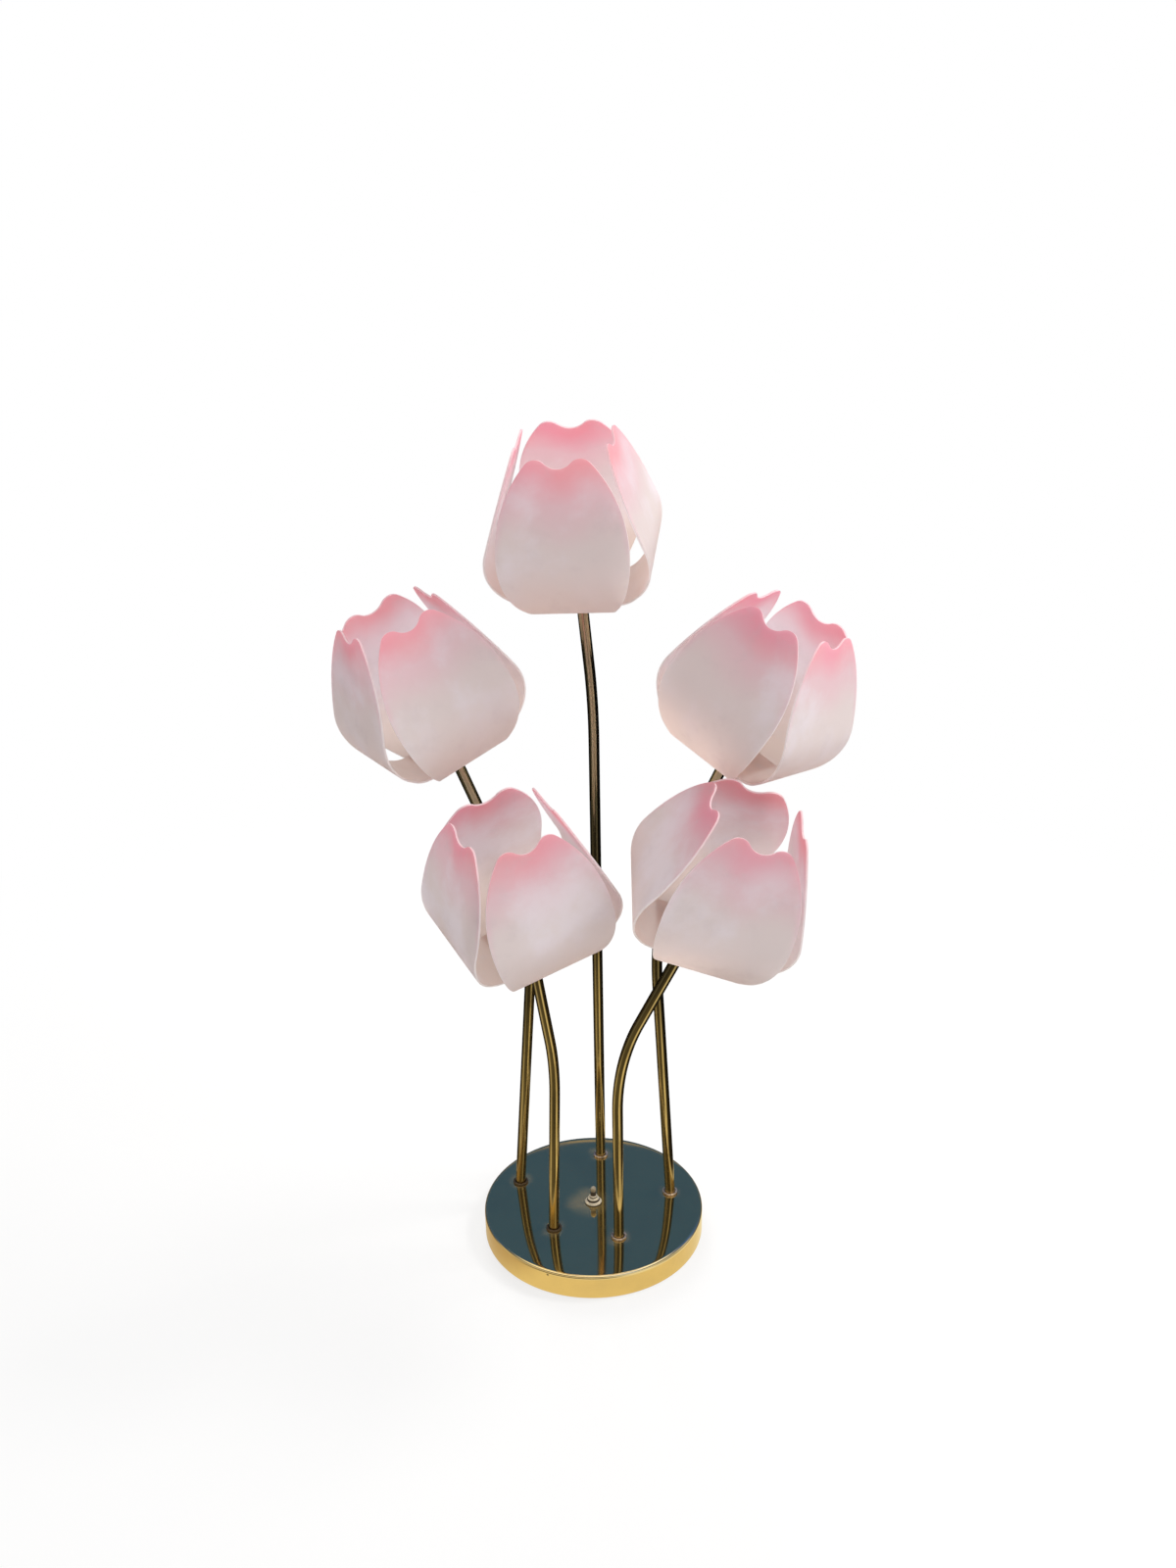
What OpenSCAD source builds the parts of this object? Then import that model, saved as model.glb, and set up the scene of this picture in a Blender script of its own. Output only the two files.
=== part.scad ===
// Table lamp with five tulip shades on bent brass stems, in millimetres.
// The origin is the middle of the base's underside, +Z is up and -Y is the front.
// Each shade is two bent strips of frosted sheet that cross at right angles on the end of its stem.

/* [Base] */
// Diameter of the round base
base_d = 203.2; // [180:0.2:260]
// Height of the base from the table to its polished top
base_h = 25; // [24:0.5:32]
// Thickness of the spun brass shell
shell_wall = 1.2; // [0.8:0.1:1.8]
// Radius of the shell's top edge
rim_r = 2.5; // [2:0.1:4]
// Thickness of the felt under the base
felt_t = 2; // [1:0.5:3]
// Thickness of the cover that closes the base
cover_t = 1; // [0.8:0.1:1.5]
// Thickness of the iron weight under the shell's top
weight_t = 9; // [6:0.5:10]
// Diameter of the middle hole in the iron weight
weight_hole_d = 60; // [40:1:70]
// Height of the lead inlet's axis above the table
inlet_z = 11; // [11:0.5:13]
// Bore of the lead inlet
inlet_bore = 6.5; // [5:0.5:8]

/* [Stems] */
// Outer diameter of the stem tube
stem_d = 9.5; // [8.5:0.1:11.5]
// Wall of the stem tube
stem_wall = 0.8; // [0.6:0.1:1]
// Outer diameter of the ring round each stem's foot
ring_d = 14.6; // [13:0.1:18]
// Height of that ring
ring_h = 2.6; // [2:0.1:4]
// Middle-line radius of the small bend at the foot of a leaning stem
foot_bend_r = 40; // [30:1:60]
// Depth that the threaded foot is turned down below the tube, on the radius
thread_cut = 0.15; // [0.1:0.01:0.2]

/* [Shades] */
// Thickness of the frosted sheet
sheet_t = 1.6; // [1:0.1:2]
// Length of the flat bottom of a strip
flat_l = 60; // [58:0.5:72]
// Middle-line radius of the low bend
low_bend_r = 25; // [20:0.5:30]
// Angle of the low bend
low_bend_a = 46; // [40:1:50]
// Straight stretch between the two bends
web_l = 6; // [3:0.5:10]
// Middle-line radius of the side bend
side_bend_r = 45; // [40:0.5:50]
// Angle of the side bend
side_bend_a = 64; // [60:1:66]
// Straight stretch from the side bend to the tips of a petal
petal_l = 77; // [66:0.5:95]
// Width of a strip across its flat bottom
waist_w = 58.5; // [54:0.5:60]
// Greatest width of a petal
petal_w = 104; // [88:0.5:106]
// Height of a petal's widest place
widest_h = 62; // [54:0.5:70]
// Distance between the two lobes at a petal's top
lobe_gap = 35; // [30:0.5:42]
// Radius of a lobe
lobe_r = 10.7; // [9:0.1:13]
// Depth of the notch between the lobes
notch_h = 7; // [5.5:0.5:8.5]

/* [Lamp holders and bulbs] */
// Bore of the threaded nipple that holds a shade
nipple_bore = 5; // [3.5:0.1:6]
// Outer diameter of a lamp holder
holder_d = 21; // [20:0.5:26]
// Height of a lamp holder
holder_h = 30; // [28:1:36]
// Diameter of the bulb's screw cap
cap_d = 11.8; // [10:0.1:14.5]
// Greatest diameter of the bulb
bulb_d = 22; // [18:0.5:27]
// Height of the glass above the screw cap
bulb_h = 38; // [34:1:42]

/* [Switch] */
// Diameter of the push button
button_d = 5.3; // [4.4:0.1:6.5]
// Height that the button stands above its bushing
button_up = 8.6; // [7:0.1:10]
// Travel of the button
button_travel = 3; // [2:0.1:3.5]
// Diameter of the round nut that holds the switch
switch_nut_d = 15.5; // [14:0.1:20]

/* [Hidden] */
$fn = 96;

// Clearance of pieces that slip over each other, on the radius
slip = 0.05;
// Clearance of the sliding button, on the radius
run = 0.08;
// Clearance of a bolt or tube in its hole, on the radius
loose = 0.3;
// A stem's end is this much thinner than its bend, on the radius, and reaches back into it
draw = 0.02;
draw_l = 1;

// The five stems. Foot: its place on the base. Lean: inward tilt of the lower stem.
// Rise: length of the lower straight. Bend: radius of the outward bend. Tilt: of the shade.
// End: length of the upper straight. Out: direction of the outward bend. Facing: direction
// that the shade's outer pair of petals faces. Directions are degrees from +X.
STEMS = [
    // foot x, foot y, lean, rise, bend, tilt, end, out, facing
    [8, 71.5, 0, 433, 300, 14, 72, 250, 261.5],
    [-69, 32, 4.4, 206, 300, 20.5, 120, 200, 300.5],
    [72.5, 12.5, 3.2, 221, 334, 24, 78, 343, 229],
    [-36.5, -36, 4, 134, 180, 15.5, 114, 245, 297],
    [22.5, -49.5, 0, 134, 220, 26, 106, 329, 271.5]
];
TOP = 0;
UPPER_LEFT = 1;
UPPER_RIGHT = 2;
LOWER_LEFT = 3;
LOWER_RIGHT = 4;
EVERY = [TOP, UPPER_LEFT, UPPER_RIGHT, LOWER_LEFT, LOWER_RIGHT];

// Base, from the table up
base_r = base_d / 2;
cover_z = felt_t;
cover_top = cover_z + cover_t;
rim_low = felt_t / 2;
ceiling = base_h - shell_wall;
weight_z = ceiling - weight_t;
weight_gap = 6;
weight_r = base_r - shell_wall - weight_gap;

// Hardware under the weight
foot_washer_t = 0.8;
foot_washer_d = stem_d + 8.5;
foot_nut_h = 3.4;
thread_below = 1.4;
foot_nut_af = stem_d + 3.5;
foot_nut_z = weight_z - foot_washer_t - foot_nut_h;
stem_low = foot_nut_z - thread_below;

// Lead inlet: a neck through the side wall, with a flange outside and a ridge inside
inlet_neck_r = inlet_bore / 2 + 1.5;
inlet_neck_l = 4;
inlet_flange_t = 2.2;
inlet_flange_w = 2;
inlet_ridge_l = 1.6;
inlet_ridge_h = 0.8;

// Wiring: one lead in each stem, joined by a loop under the switch
lead_r = 1.5;
loop_wire_r = 2;
loop_z = cover_top + loop_wire_r;
loop_r = 8;
lead_drop = 0.5;
lead_bend_r = stem_low - loop_z - lead_drop;

// Stem
stem_r = stem_d / 2;
stem_bore_r = stem_r - stem_wall;
foot_top = base_h + 1;
thread_r = stem_r - thread_cut;

// Shade: the bent strip's side view, along its middle line
side_up_a = low_bend_a + side_bend_a;
web_x = flat_l / 2 + low_bend_r * sin(low_bend_a);
web_z = low_bend_r * (1 - cos(low_bend_a));
side_x = web_x + web_l * cos(low_bend_a);
side_z = web_z + web_l * sin(low_bend_a);
petal_z = side_z + side_bend_r * (cos(low_bend_a) - cos(side_up_a));
shade_h = sheet_t / 2 + petal_z + petal_l * sin(side_up_a);

// Shade: the petal's outline, seen from the front
side_rise = (petal_w - waist_w) / 2;
low_edge_r = (pow(side_rise, 2) + pow(widest_h, 2)) / (2 * side_rise);
lobe_x = lobe_gap / 2;
lobe_z = shade_h - lobe_r;
lobe_in = petal_w / 2 - lobe_x;
lobe_up = lobe_z - widest_h;
high_edge_r = (pow(lobe_in, 2) + pow(lobe_up, 2) - pow(lobe_r, 2)) / (2 * (lobe_in - lobe_r));
lobe_a = atan2(lobe_up, high_edge_r - lobe_in);
edge_spare = 6;
edge_step = 6;
notch_r = pow(lobe_x, 2) / (2 * notch_h) - lobe_r + notch_h / 2;
notch_z = shade_h - notch_h + notch_r;
notch_share = lobe_r / (lobe_r + notch_r);

// Head: what stands on the stem's end, from the sheet's underside up
nipple_r = stem_bore_r - slip;
sheets_top = 2 * sheet_t;
shade_washer_t = 1;
shade_washer_d = 2 * nipple_r + 16.2;
shade_nut_h = 3;
shade_nut_af = 2 * nipple_r + 4.2;
holder_z = sheets_top + shade_washer_t + shade_nut_h;
nipple_grip = 12;
nipple_in_holder = 6;
nipple_top = holder_z + nipple_in_holder;
holder_floor = 9;
shell_short = 2;
contact_r = 3.5;
contact_t = 0.8;
cap_tip_r = 2;
cap_tip_h = 1.2;
cap_z = holder_z + holder_floor + contact_t + cap_tip_h;
cap_wall = 0.5;
cap_h = holder_h - holder_floor + 1;
thread_slack = 0.1;
shell_r = cap_d / 2 + thread_slack;
shell_t = 0.5;
glass_z = cap_z + cap_h;
glass_wall = 0.8;
bulb_hollow_r = 20;

// Switch
collar_r = button_d / 2 + 1.05;
bushing_r = collar_r + 1.5;
collar_h = 2.2;
switch_nut_h = 3;
bushing_up = 6.2;
switch_r = 10;
switch_z = loop_z + loop_wire_r;
chamber_r = button_d / 2 + 1.95;
bushing_grip = 3;
bushing_low = ceiling - bushing_grip;
button_flange_r = button_d / 2 + 1.35;
button_flange_h = 1.6;
button_gap = 0.3;
button_low = bushing_low - button_gap - button_flange_h;
collar_top = base_h + bushing_up + collar_h;
chamber_spare = 0.6;
chamber_z = button_low - button_travel - chamber_spare;

// ---- Shared shapes ----

module tube(r_out, r_in, h) {
    difference() {
        cylinder(r = r_out, h = h);
        translate([0, 0, -1]) cylinder(r = r_in, h = h + 2);
    }
}

module hex_nut(across_flats, r_in, h) {
    difference() {
        cylinder(d = across_flats / cos(30), h = h, $fn = 6);
        translate([0, 0, -1]) cylinder(r = r_in, h = h + 2);
    }
}

// A straight length of tube, or of solid rod where r_in is 0
module straight(l, r_out, r_in) {
    if (r_in > 0) tube(r_out, r_in, l);
    if (r_in == 0) cylinder(r = r_out, h = l);
}

// A bend of tube towards +X
module bend(r, a, r_out, r_in) {
    translate([r, 0, 0]) rotate([90, 0, 0]) mirror([1, 0, 0])
        rotate_extrude(angle = a) translate([r, 0]) difference() {
            circle(r = r_out);
            if (r_in > 0) circle(r = r_in);
        }
}

// The place and direction at the end of a bend towards +X
module after_bend(r, a) {
    translate([r * (1 - cos(a)), 0, r * sin(a)]) rotate([0, a, 0]) children();
}

// ---- Places along a stem ----

// The foot's axis at the table, turned so that +X is the way the stem bends out
module at_foot(i) {
    translate([STEMS[i][0], STEMS[i][1], 0]) rotate([0, 0, STEMS[i][7]]) children();
}

// The start of the lower straight, turned along it
module at_lean(i) {
    lean = STEMS[i][2];
    at_foot(i)
        translate([-foot_bend_r * (1 - cos(lean)), 0, foot_top + foot_bend_r * sin(lean)])
            rotate([0, -lean, 0]) children();
}

// The end of the outward bend, turned along the upper straight
module at_bend_end(i) {
    at_lean(i) translate([0, 0, STEMS[i][3]])
        after_bend(STEMS[i][4], STEMS[i][2] + STEMS[i][5]) children();
}

// The end of a stem, where its shade stands, with +X the way that the outer petals face
module at_head(i) {
    at_bend_end(i) translate([0, 0, STEMS[i][6]])
        rotate([0, 0, STEMS[i][8] - STEMS[i][7]]) children();
}

// The stem above its foot, as tube or as a wire in its middle
module stem_run(i, r_out, r_in) {
    lean = STEMS[i][2];
    at_lean(i) {
        if (lean > 0) mirror([1, 0, 0]) rotate([180, 0, 0]) bend(foot_bend_r, lean, r_out, r_in);
        straight(STEMS[i][3], r_out, r_in);
        translate([0, 0, STEMS[i][3]]) bend(STEMS[i][4], lean + STEMS[i][5], r_out, r_in);
    }
    at_bend_end(i) translate([0, 0, -draw_l])
        straight(STEMS[i][6] + draw_l, r_out - draw, r_in > 0 ? r_in + draw : 0);
}

// ---- Base ----

// Half section of a pan with a rounded top edge, solid down to its rim
module pan_half(r, h, edge_r, low) {
    translate([0, low]) square([r - edge_r, h - low]);
    translate([0, low]) square([r, h - low - edge_r]);
    translate([r - edge_r, h - edge_r]) circle(r = edge_r);
}

module base_shell() {
    color([0.87, 0.72, 0.39]) difference() {
        rotate_extrude() intersection() {
            difference() {
                pan_half(base_r, base_h, rim_r, rim_low);
                pan_half(base_r - shell_wall, ceiling, rim_r - shell_wall, rim_low - 5);
            }
            translate([0, rim_low]) square([base_r, base_h]);
        }
        for (i = EVERY)
            translate([STEMS[i][0], STEMS[i][1], ceiling - 1])
                cylinder(r = thread_r + loose, h = shell_wall + 2);
        translate([0, 0, ceiling - 1]) cylinder(r = bushing_r + loose, h = shell_wall + 2);
        at_inlet() translate([0, 0, -8]) cylinder(r = inlet_neck_r + slip, h = 12);
    }
}

module base_weight() {
    color([0.22, 0.22, 0.23]) translate([0, 0, weight_z]) difference() {
        cylinder(r = weight_r, h = weight_t);
        translate([0, 0, -1]) cylinder(d = weight_hole_d, h = weight_t + 2);
        for (i = EVERY)
            translate([STEMS[i][0], STEMS[i][1], -1])
                cylinder(r = thread_r + loose, h = weight_t + 2);
    }
}

module bottom_cover() {
    color([0.35, 0.3, 0.26]) translate([0, 0, cover_z])
        cylinder(r = base_r - shell_wall - slip, h = cover_t);
}

module felt_pad() {
    color([0.14, 0.25, 0.19]) cylinder(r = base_r - shell_wall - 2, h = felt_t);
}

// The back of the base's side wall, with +Z pointing out of it
module at_inlet() {
    translate([0, base_r, inlet_z]) rotate([-90, 0, 0]) children();
}

module lead_inlet() {
    color([0.12, 0.11, 0.1]) at_inlet() difference() {
        union() {
            cylinder(r = inlet_neck_r + inlet_flange_w, h = inlet_flange_t);
            translate([0, 0, -shell_wall - inlet_neck_l])
                cylinder(r = inlet_neck_r, h = shell_wall + inlet_neck_l);
            translate([0, 0, -shell_wall - inlet_neck_l / 2])
                cylinder(r = inlet_neck_r + inlet_ridge_h, h = inlet_ridge_l);
        }
        translate([0, 0, -8]) cylinder(d = inlet_bore, h = 12);
    }
}

// ---- Switch ----

module switch_body() {
    color([0.1, 0.09, 0.08]) difference() {
        translate([0, 0, switch_z]) cylinder(r = switch_r, h = ceiling - switch_z);
        translate([0, 0, chamber_z]) cylinder(r = chamber_r, h = bushing_low - chamber_z);
        translate([0, 0, bushing_low]) cylinder(r = bushing_r, h = ceiling - bushing_low + 1);
    }
}

module switch_bushing() {
    color([0.8, 0.78, 0.72]) difference() {
        union() {
            translate([0, 0, bushing_low])
                cylinder(r = bushing_r, h = base_h + bushing_up - bushing_low);
            translate([0, 0, base_h]) cylinder(r = collar_r, h = bushing_up + collar_h);
        }
        translate([0, 0, bushing_low - 1])
            cylinder(r = button_d / 2 + run, h = collar_top - bushing_low + 2);
    }
}

module switch_nut() {
    edge = 0.8;
    color([0.8, 0.77, 0.68]) translate([0, 0, base_h]) difference() {
        rotate_extrude() {
            square([switch_nut_d / 2 - edge, switch_nut_h]);
            square([switch_nut_d / 2, switch_nut_h - edge]);
            translate([switch_nut_d / 2 - edge, switch_nut_h - edge]) circle(r = edge);
        }
        translate([0, 0, -1]) cylinder(r = bushing_r + slip, h = switch_nut_h + 2);
    }
}

module switch_button() {
    button_r = button_d / 2;
    dome_z = collar_top + button_up - button_r;
    color([0.75, 0.74, 0.7]) {
        translate([0, 0, button_low]) cylinder(r = button_flange_r, h = button_flange_h);
        translate([0, 0, button_low]) cylinder(r = button_r, h = dome_z - button_low);
        translate([0, 0, dome_z]) sphere(r = button_r);
    }
}

// ---- Wiring ----

module wiring_loop() {
    color([0.45, 0.36, 0.2]) translate([0, 0, loop_z])
        rotate_extrude() translate([loop_r, 0]) circle(r = loop_wire_r);
}

// The stretch of lead from the stem's lower end to the loop, straight towards the middle
module base_lead(i) {
    reach = norm([STEMS[i][0], STEMS[i][1]]);
    inward = atan2(-STEMS[i][1], -STEMS[i][0]);
    translate([STEMS[i][0], STEMS[i][1], stem_low]) rotate([180, 0, 0]) rotate([0, 0, -inward]) {
        straight(lead_drop, lead_r, 0);
        translate([0, 0, lead_drop]) {
            bend(lead_bend_r, 90, lead_r, 0);
            after_bend(lead_bend_r, 90)
                straight(reach - lead_bend_r - loop_r - loop_wire_r, lead_r, 0);
        }
    }
}

module stem_leads() {
    color([0.45, 0.36, 0.2]) for (i = EVERY) {
        base_lead(i);
        translate([STEMS[i][0], STEMS[i][1], stem_low])
            cylinder(r = lead_r - draw, h = foot_top + draw_l - stem_low);
        stem_run(i, lead_r, 0);
        at_head(i) translate([0, 0, -draw_l]) cylinder(r = lead_r - 2 * draw, h = nipple_top + draw_l);
    }
}

// ---- Stems ----

module stem(i) {
    color([0.62, 0.52, 0.3]) {
        translate([STEMS[i][0], STEMS[i][1], stem_low])
            tube(thread_r, stem_bore_r + draw, foot_top + draw_l - stem_low);
        stem_run(i, stem_r, stem_bore_r);
    }
}

module foot_rings() {
    edge = 1;
    color([0.45, 0.35, 0.18]) for (i = EVERY)
        translate([STEMS[i][0], STEMS[i][1], base_h]) difference() {
            rotate_extrude() {
                square([ring_d / 2 - edge, ring_h]);
                square([ring_d / 2, ring_h - edge]);
                translate([ring_d / 2 - edge, ring_h - edge]) circle(r = edge);
            }
            translate([0, 0, -1]) cylinder(r = stem_r + slip, h = ring_h + 2);
        }
}

module foot_washers() {
    color([0.7, 0.7, 0.7]) for (i = EVERY)
        translate([STEMS[i][0], STEMS[i][1], weight_z - foot_washer_t])
            tube(foot_washer_d / 2, thread_r + loose, foot_washer_t);
}

module foot_nuts() {
    color([0.72, 0.6, 0.35]) for (i = EVERY)
        translate([STEMS[i][0], STEMS[i][1], foot_nut_z])
            hex_nut(foot_nut_af, thread_r + slip, foot_nut_h);
}

// ---- Shades ----

// A bend of the sheet in side view, with what follows it placed on its end
module sheet_bend(r, a) {
    translate([0, r]) intersection() {
        difference() {
            circle(r = r + sheet_t / 2);
            circle(r = r - sheet_t / 2);
        }
        polygon([[0, 0], [0, -2 * r], 2 * r * [sin(a), -cos(a)]]);
    }
    translate([r * sin(a), r * (1 - cos(a))]) rotate(a) children();
}

module sheet_straight(l) {
    translate([0, -sheet_t / 2]) square([l, sheet_t]);
    translate([l, 0]) children();
}

// Side view of one half of a strip: flat bottom, two bends and the long petal
module strip_half() {
    spare = 4;
    translate([0, sheet_t / 2]) sheet_straight(flat_l / 2) sheet_bend(low_bend_r, low_bend_a)
        sheet_straight(web_l) sheet_bend(side_bend_r, side_bend_a)
            sheet_straight(petal_l + spare);
}

// Points on a petal's side, from angle a0 to a1 of a circle that touches the widest place
function side_arc(r, a0, a1) = let (steps = ceil((a1 - a0) / edge_step)) [
    for (k = [0:steps])
        let (a = a0 + (a1 - a0) * k / steps)
            [petal_w / 2 - r * (1 - cos(a)), widest_h + r * sin(a)]
];

// One side of a petal: a lower arc from the flat bottom, and an upper arc that runs on past
// the place where it meets the lobe
function side_points() = concat(
    side_arc(low_edge_r, -asin((widest_h + 1) / low_edge_r), 0),
    side_arc(high_edge_r, edge_step, lobe_a + edge_spare)
);

// A petal from the front: two long sides that run smoothly into two round lobes
module petal_outline() {
    side = side_points();
    last = len(side) - 1;
    intersection() {
        polygon(concat(side, [for (k = [last:-1:0]) [-side[k][0], side[k][1]]]));
        union() {
            translate([-petal_w / 2, -1]) square([petal_w, lobe_z + 1]);
            lobe();
            mirror([1, 0]) lobe();
            notch_block();
        }
    }
}

module lobe() {
    reach = petal_w / 2;
    translate([lobe_x, lobe_z]) {
        circle(r = lobe_r);
        polygon([[0, -1], [reach, -1], [reach, reach * tan(lobe_a)], [0, 0]]);
    }
}

// The web between the lobes, hollowed by the notch's own arc
module notch_block() {
    half = lobe_x * (1 - notch_share);
    top = lobe_z + (notch_z - lobe_z) * notch_share;
    difference() {
        translate([-half, lobe_z - 1]) square([2 * half, top - lobe_z + 1]);
        translate([0, notch_z]) circle(r = notch_r);
    }
}

// One strip, which makes two petals that face each other
module petal_pair() {
    difference() {
        intersection() {
            rotate([90, 0, 0]) translate([0, 0, -petal_w / 2]) linear_extrude(petal_w) {
                strip_half();
                mirror([1, 0]) strip_half();
            }
            rotate([90, 0, 90]) translate([0, 0, -petal_w]) linear_extrude(2 * petal_w)
                petal_outline();
        }
        translate([0, 0, -1]) cylinder(r = nipple_r + slip, h = sheet_t + 2);
    }
}

module outer_petals(i) {
    color([0.87, 0.76, 0.77]) at_head(i) petal_pair();
}

module inner_petals(i) {
    color([0.9, 0.78, 0.79]) at_head(i) translate([0, 0, sheet_t]) rotate([0, 0, 90])
        petal_pair();
}

// ---- Heads ----

module shade_nipples() {
    color([0.78, 0.65, 0.38]) for (i = EVERY)
        at_head(i) translate([0, 0, -nipple_grip])
            tube(nipple_r, nipple_bore / 2, nipple_grip + nipple_top);
}

module shade_washers() {
    color([0.75, 0.75, 0.75]) for (i = EVERY)
        at_head(i) translate([0, 0, sheets_top])
            tube(shade_washer_d / 2, nipple_r + slip, shade_washer_t);
}

module shade_nuts() {
    color([0.78, 0.65, 0.38]) for (i = EVERY)
        at_head(i) translate([0, 0, sheets_top + shade_washer_t])
            hex_nut(shade_nut_af, nipple_r + slip, shade_nut_h);
}

// An insulating cup with a floor that screws on the nipple
module holder(i) {
    color([0.93, 0.92, 0.88]) at_head(i) translate([0, 0, holder_z]) difference() {
        cylinder(d = holder_d, h = holder_h);
        translate([0, 0, holder_floor]) cylinder(r = shell_r + shell_t, h = holder_h);
        translate([0, 0, -1]) cylinder(r = nipple_r + slip, h = nipple_top - holder_z + 1);
        translate([0, 0, -1]) cylinder(r = nipple_bore / 2, h = holder_floor + 2);
    }
}

module screw_shells() {
    color([0.85, 0.7, 0.4]) for (i = EVERY)
        at_head(i) translate([0, 0, holder_z + holder_floor])
            tube(shell_r + shell_t, shell_r, holder_h - holder_floor - shell_short);
}

// A spring tongue, drawn as the button that meets the bulb's tip
module centre_contacts() {
    color([0.85, 0.7, 0.4]) for (i = EVERY)
        at_head(i) {
            translate([0, 0, nipple_top])
                cylinder(r = nipple_bore / 2, h = holder_z + holder_floor - nipple_top);
            translate([0, 0, holder_z + holder_floor]) cylinder(r = contact_r, h = contact_t);
        }
}

module bulb_caps() {
    color([0.85, 0.72, 0.45]) for (i = EVERY)
        at_head(i) translate([0, 0, cap_z]) {
            difference() {
                cylinder(d = cap_d, h = cap_h);
                translate([0, 0, 1]) cylinder(r = cap_d / 2 - cap_wall, h = cap_h);
            }
            translate([0, 0, -cap_tip_h]) cylinder(r = cap_tip_r, h = cap_tip_h);
        }
}

// Half section of the bulb's outside: a neck that runs smoothly into a round end
module bulb_half(wall) {
    r = bulb_d / 2 - wall;
    neck = cap_d / 2 - cap_wall - slip - wall;
    hollow = bulb_hollow_r + wall;
    middle = bulb_h - bulb_d / 2;
    foot = 6;
    neck_top = middle - sqrt(pow(r + hollow, 2) - pow(neck + hollow, 2));
    intersection() {
        union() {
            translate([0, -foot]) square([neck, neck_top + foot]);
            translate([0, middle]) circle(r = r);
            difference() {
                polygon([[0, neck_top], [neck + hollow, neck_top], [0, middle]]);
                translate([neck + hollow, neck_top]) circle(r = hollow);
            }
        }
        translate([0, -foot]) square([bulb_d, bulb_h + foot + 1]);
    }
}

module bulb(i) {
    color([0.95, 0.95, 0.92, 0.6]) at_head(i) translate([0, 0, glass_z]) rotate_extrude()
        difference() {
            bulb_half(0);
            bulb_half(glass_wall);
        }
}

base_shell();
base_weight();
bottom_cover();
felt_pad();
lead_inlet();
switch_body();
switch_bushing();
switch_nut();
switch_button();
wiring_loop();
stem_leads();
foot_rings();
foot_washers();
foot_nuts();
stem(TOP);  // stem_top
stem(UPPER_LEFT);  // stem_upper_left
stem(UPPER_RIGHT);  // stem_upper_right
stem(LOWER_LEFT);  // stem_lower_left
stem(LOWER_RIGHT);  // stem_lower_right
outer_petals(TOP);  // outer_petals_top
outer_petals(UPPER_LEFT);  // outer_petals_upper_left
outer_petals(UPPER_RIGHT);  // outer_petals_upper_right
outer_petals(LOWER_LEFT);  // outer_petals_lower_left
outer_petals(LOWER_RIGHT);  // outer_petals_lower_right
inner_petals(TOP);  // inner_petals_top
inner_petals(UPPER_LEFT);  // inner_petals_upper_left
inner_petals(UPPER_RIGHT);  // inner_petals_upper_right
inner_petals(LOWER_LEFT);  // inner_petals_lower_left
inner_petals(LOWER_RIGHT);  // inner_petals_lower_right
shade_nipples();
shade_washers();
shade_nuts();
holder(TOP);  // holder_top
holder(UPPER_LEFT);  // holder_upper_left
holder(UPPER_RIGHT);  // holder_upper_right
holder(LOWER_LEFT);  // holder_lower_left
holder(LOWER_RIGHT);  // holder_lower_right
screw_shells();
centre_contacts();
bulb(TOP);  // bulb_top
bulb(UPPER_LEFT);  // bulb_upper_left
bulb(UPPER_RIGHT);  // bulb_upper_right
bulb(LOWER_LEFT);  // bulb_lower_left
bulb(LOWER_RIGHT);  // bulb_lower_right
bulb_caps();
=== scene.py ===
# %% [markdown]
# # A table lamp with five tulip shades
#
# The lamp stands on a round polished brass base. Five bent brass tubes rise from it, and each
# one carries a shade of frosted, tinted sheet: two strips bent to a U that cross at right
# angles, so that four petals open like a tulip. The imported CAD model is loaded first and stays
# the frame of the scene. Every piece is drawn in millimetres, as a maker would, and is scaled
# to metres when its mesh is made.

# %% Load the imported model
import math

import bmesh
import bpy
from mathutils import Matrix, Vector, noise


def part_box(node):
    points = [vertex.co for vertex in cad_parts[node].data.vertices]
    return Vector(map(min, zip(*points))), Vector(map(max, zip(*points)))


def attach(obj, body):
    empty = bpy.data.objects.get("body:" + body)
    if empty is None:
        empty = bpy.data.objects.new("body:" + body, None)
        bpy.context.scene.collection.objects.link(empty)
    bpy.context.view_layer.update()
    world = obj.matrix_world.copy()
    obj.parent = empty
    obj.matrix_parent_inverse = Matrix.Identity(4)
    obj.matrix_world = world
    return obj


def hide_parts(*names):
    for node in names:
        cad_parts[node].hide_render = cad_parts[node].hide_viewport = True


MM = 0.001
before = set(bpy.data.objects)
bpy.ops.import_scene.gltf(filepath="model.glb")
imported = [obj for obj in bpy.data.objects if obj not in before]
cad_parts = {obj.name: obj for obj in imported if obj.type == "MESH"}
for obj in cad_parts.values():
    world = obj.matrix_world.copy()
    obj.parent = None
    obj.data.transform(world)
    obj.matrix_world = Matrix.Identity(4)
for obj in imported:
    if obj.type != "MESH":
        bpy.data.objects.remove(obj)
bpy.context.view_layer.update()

# %% [markdown]
# ## The camera
#
# The photograph looks about 23 degrees down at the lamp from a little over a metre away. The
# lens and the tilt were worked out from the round base and the five stems. The camera could be
# aimed by a constraint, but three plain turns say exactly how it is held.

# %% Camera at the photograph's viewing angle
CAMERA_PLACE = (0, -1.1416, 0.9303)
CAMERA_DOWN, CAMERA_YAW, CAMERA_ROLL = 0.3984, 0.0018, -0.0182
LENS_MM, SENSOR_MM = 34.38, 36


def linked(name, data):
    """A new object in the scene, for a camera, a lamp or a mesh."""
    thing = bpy.data.objects.new(name, data)
    bpy.context.collection.objects.link(thing)
    return thing


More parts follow.
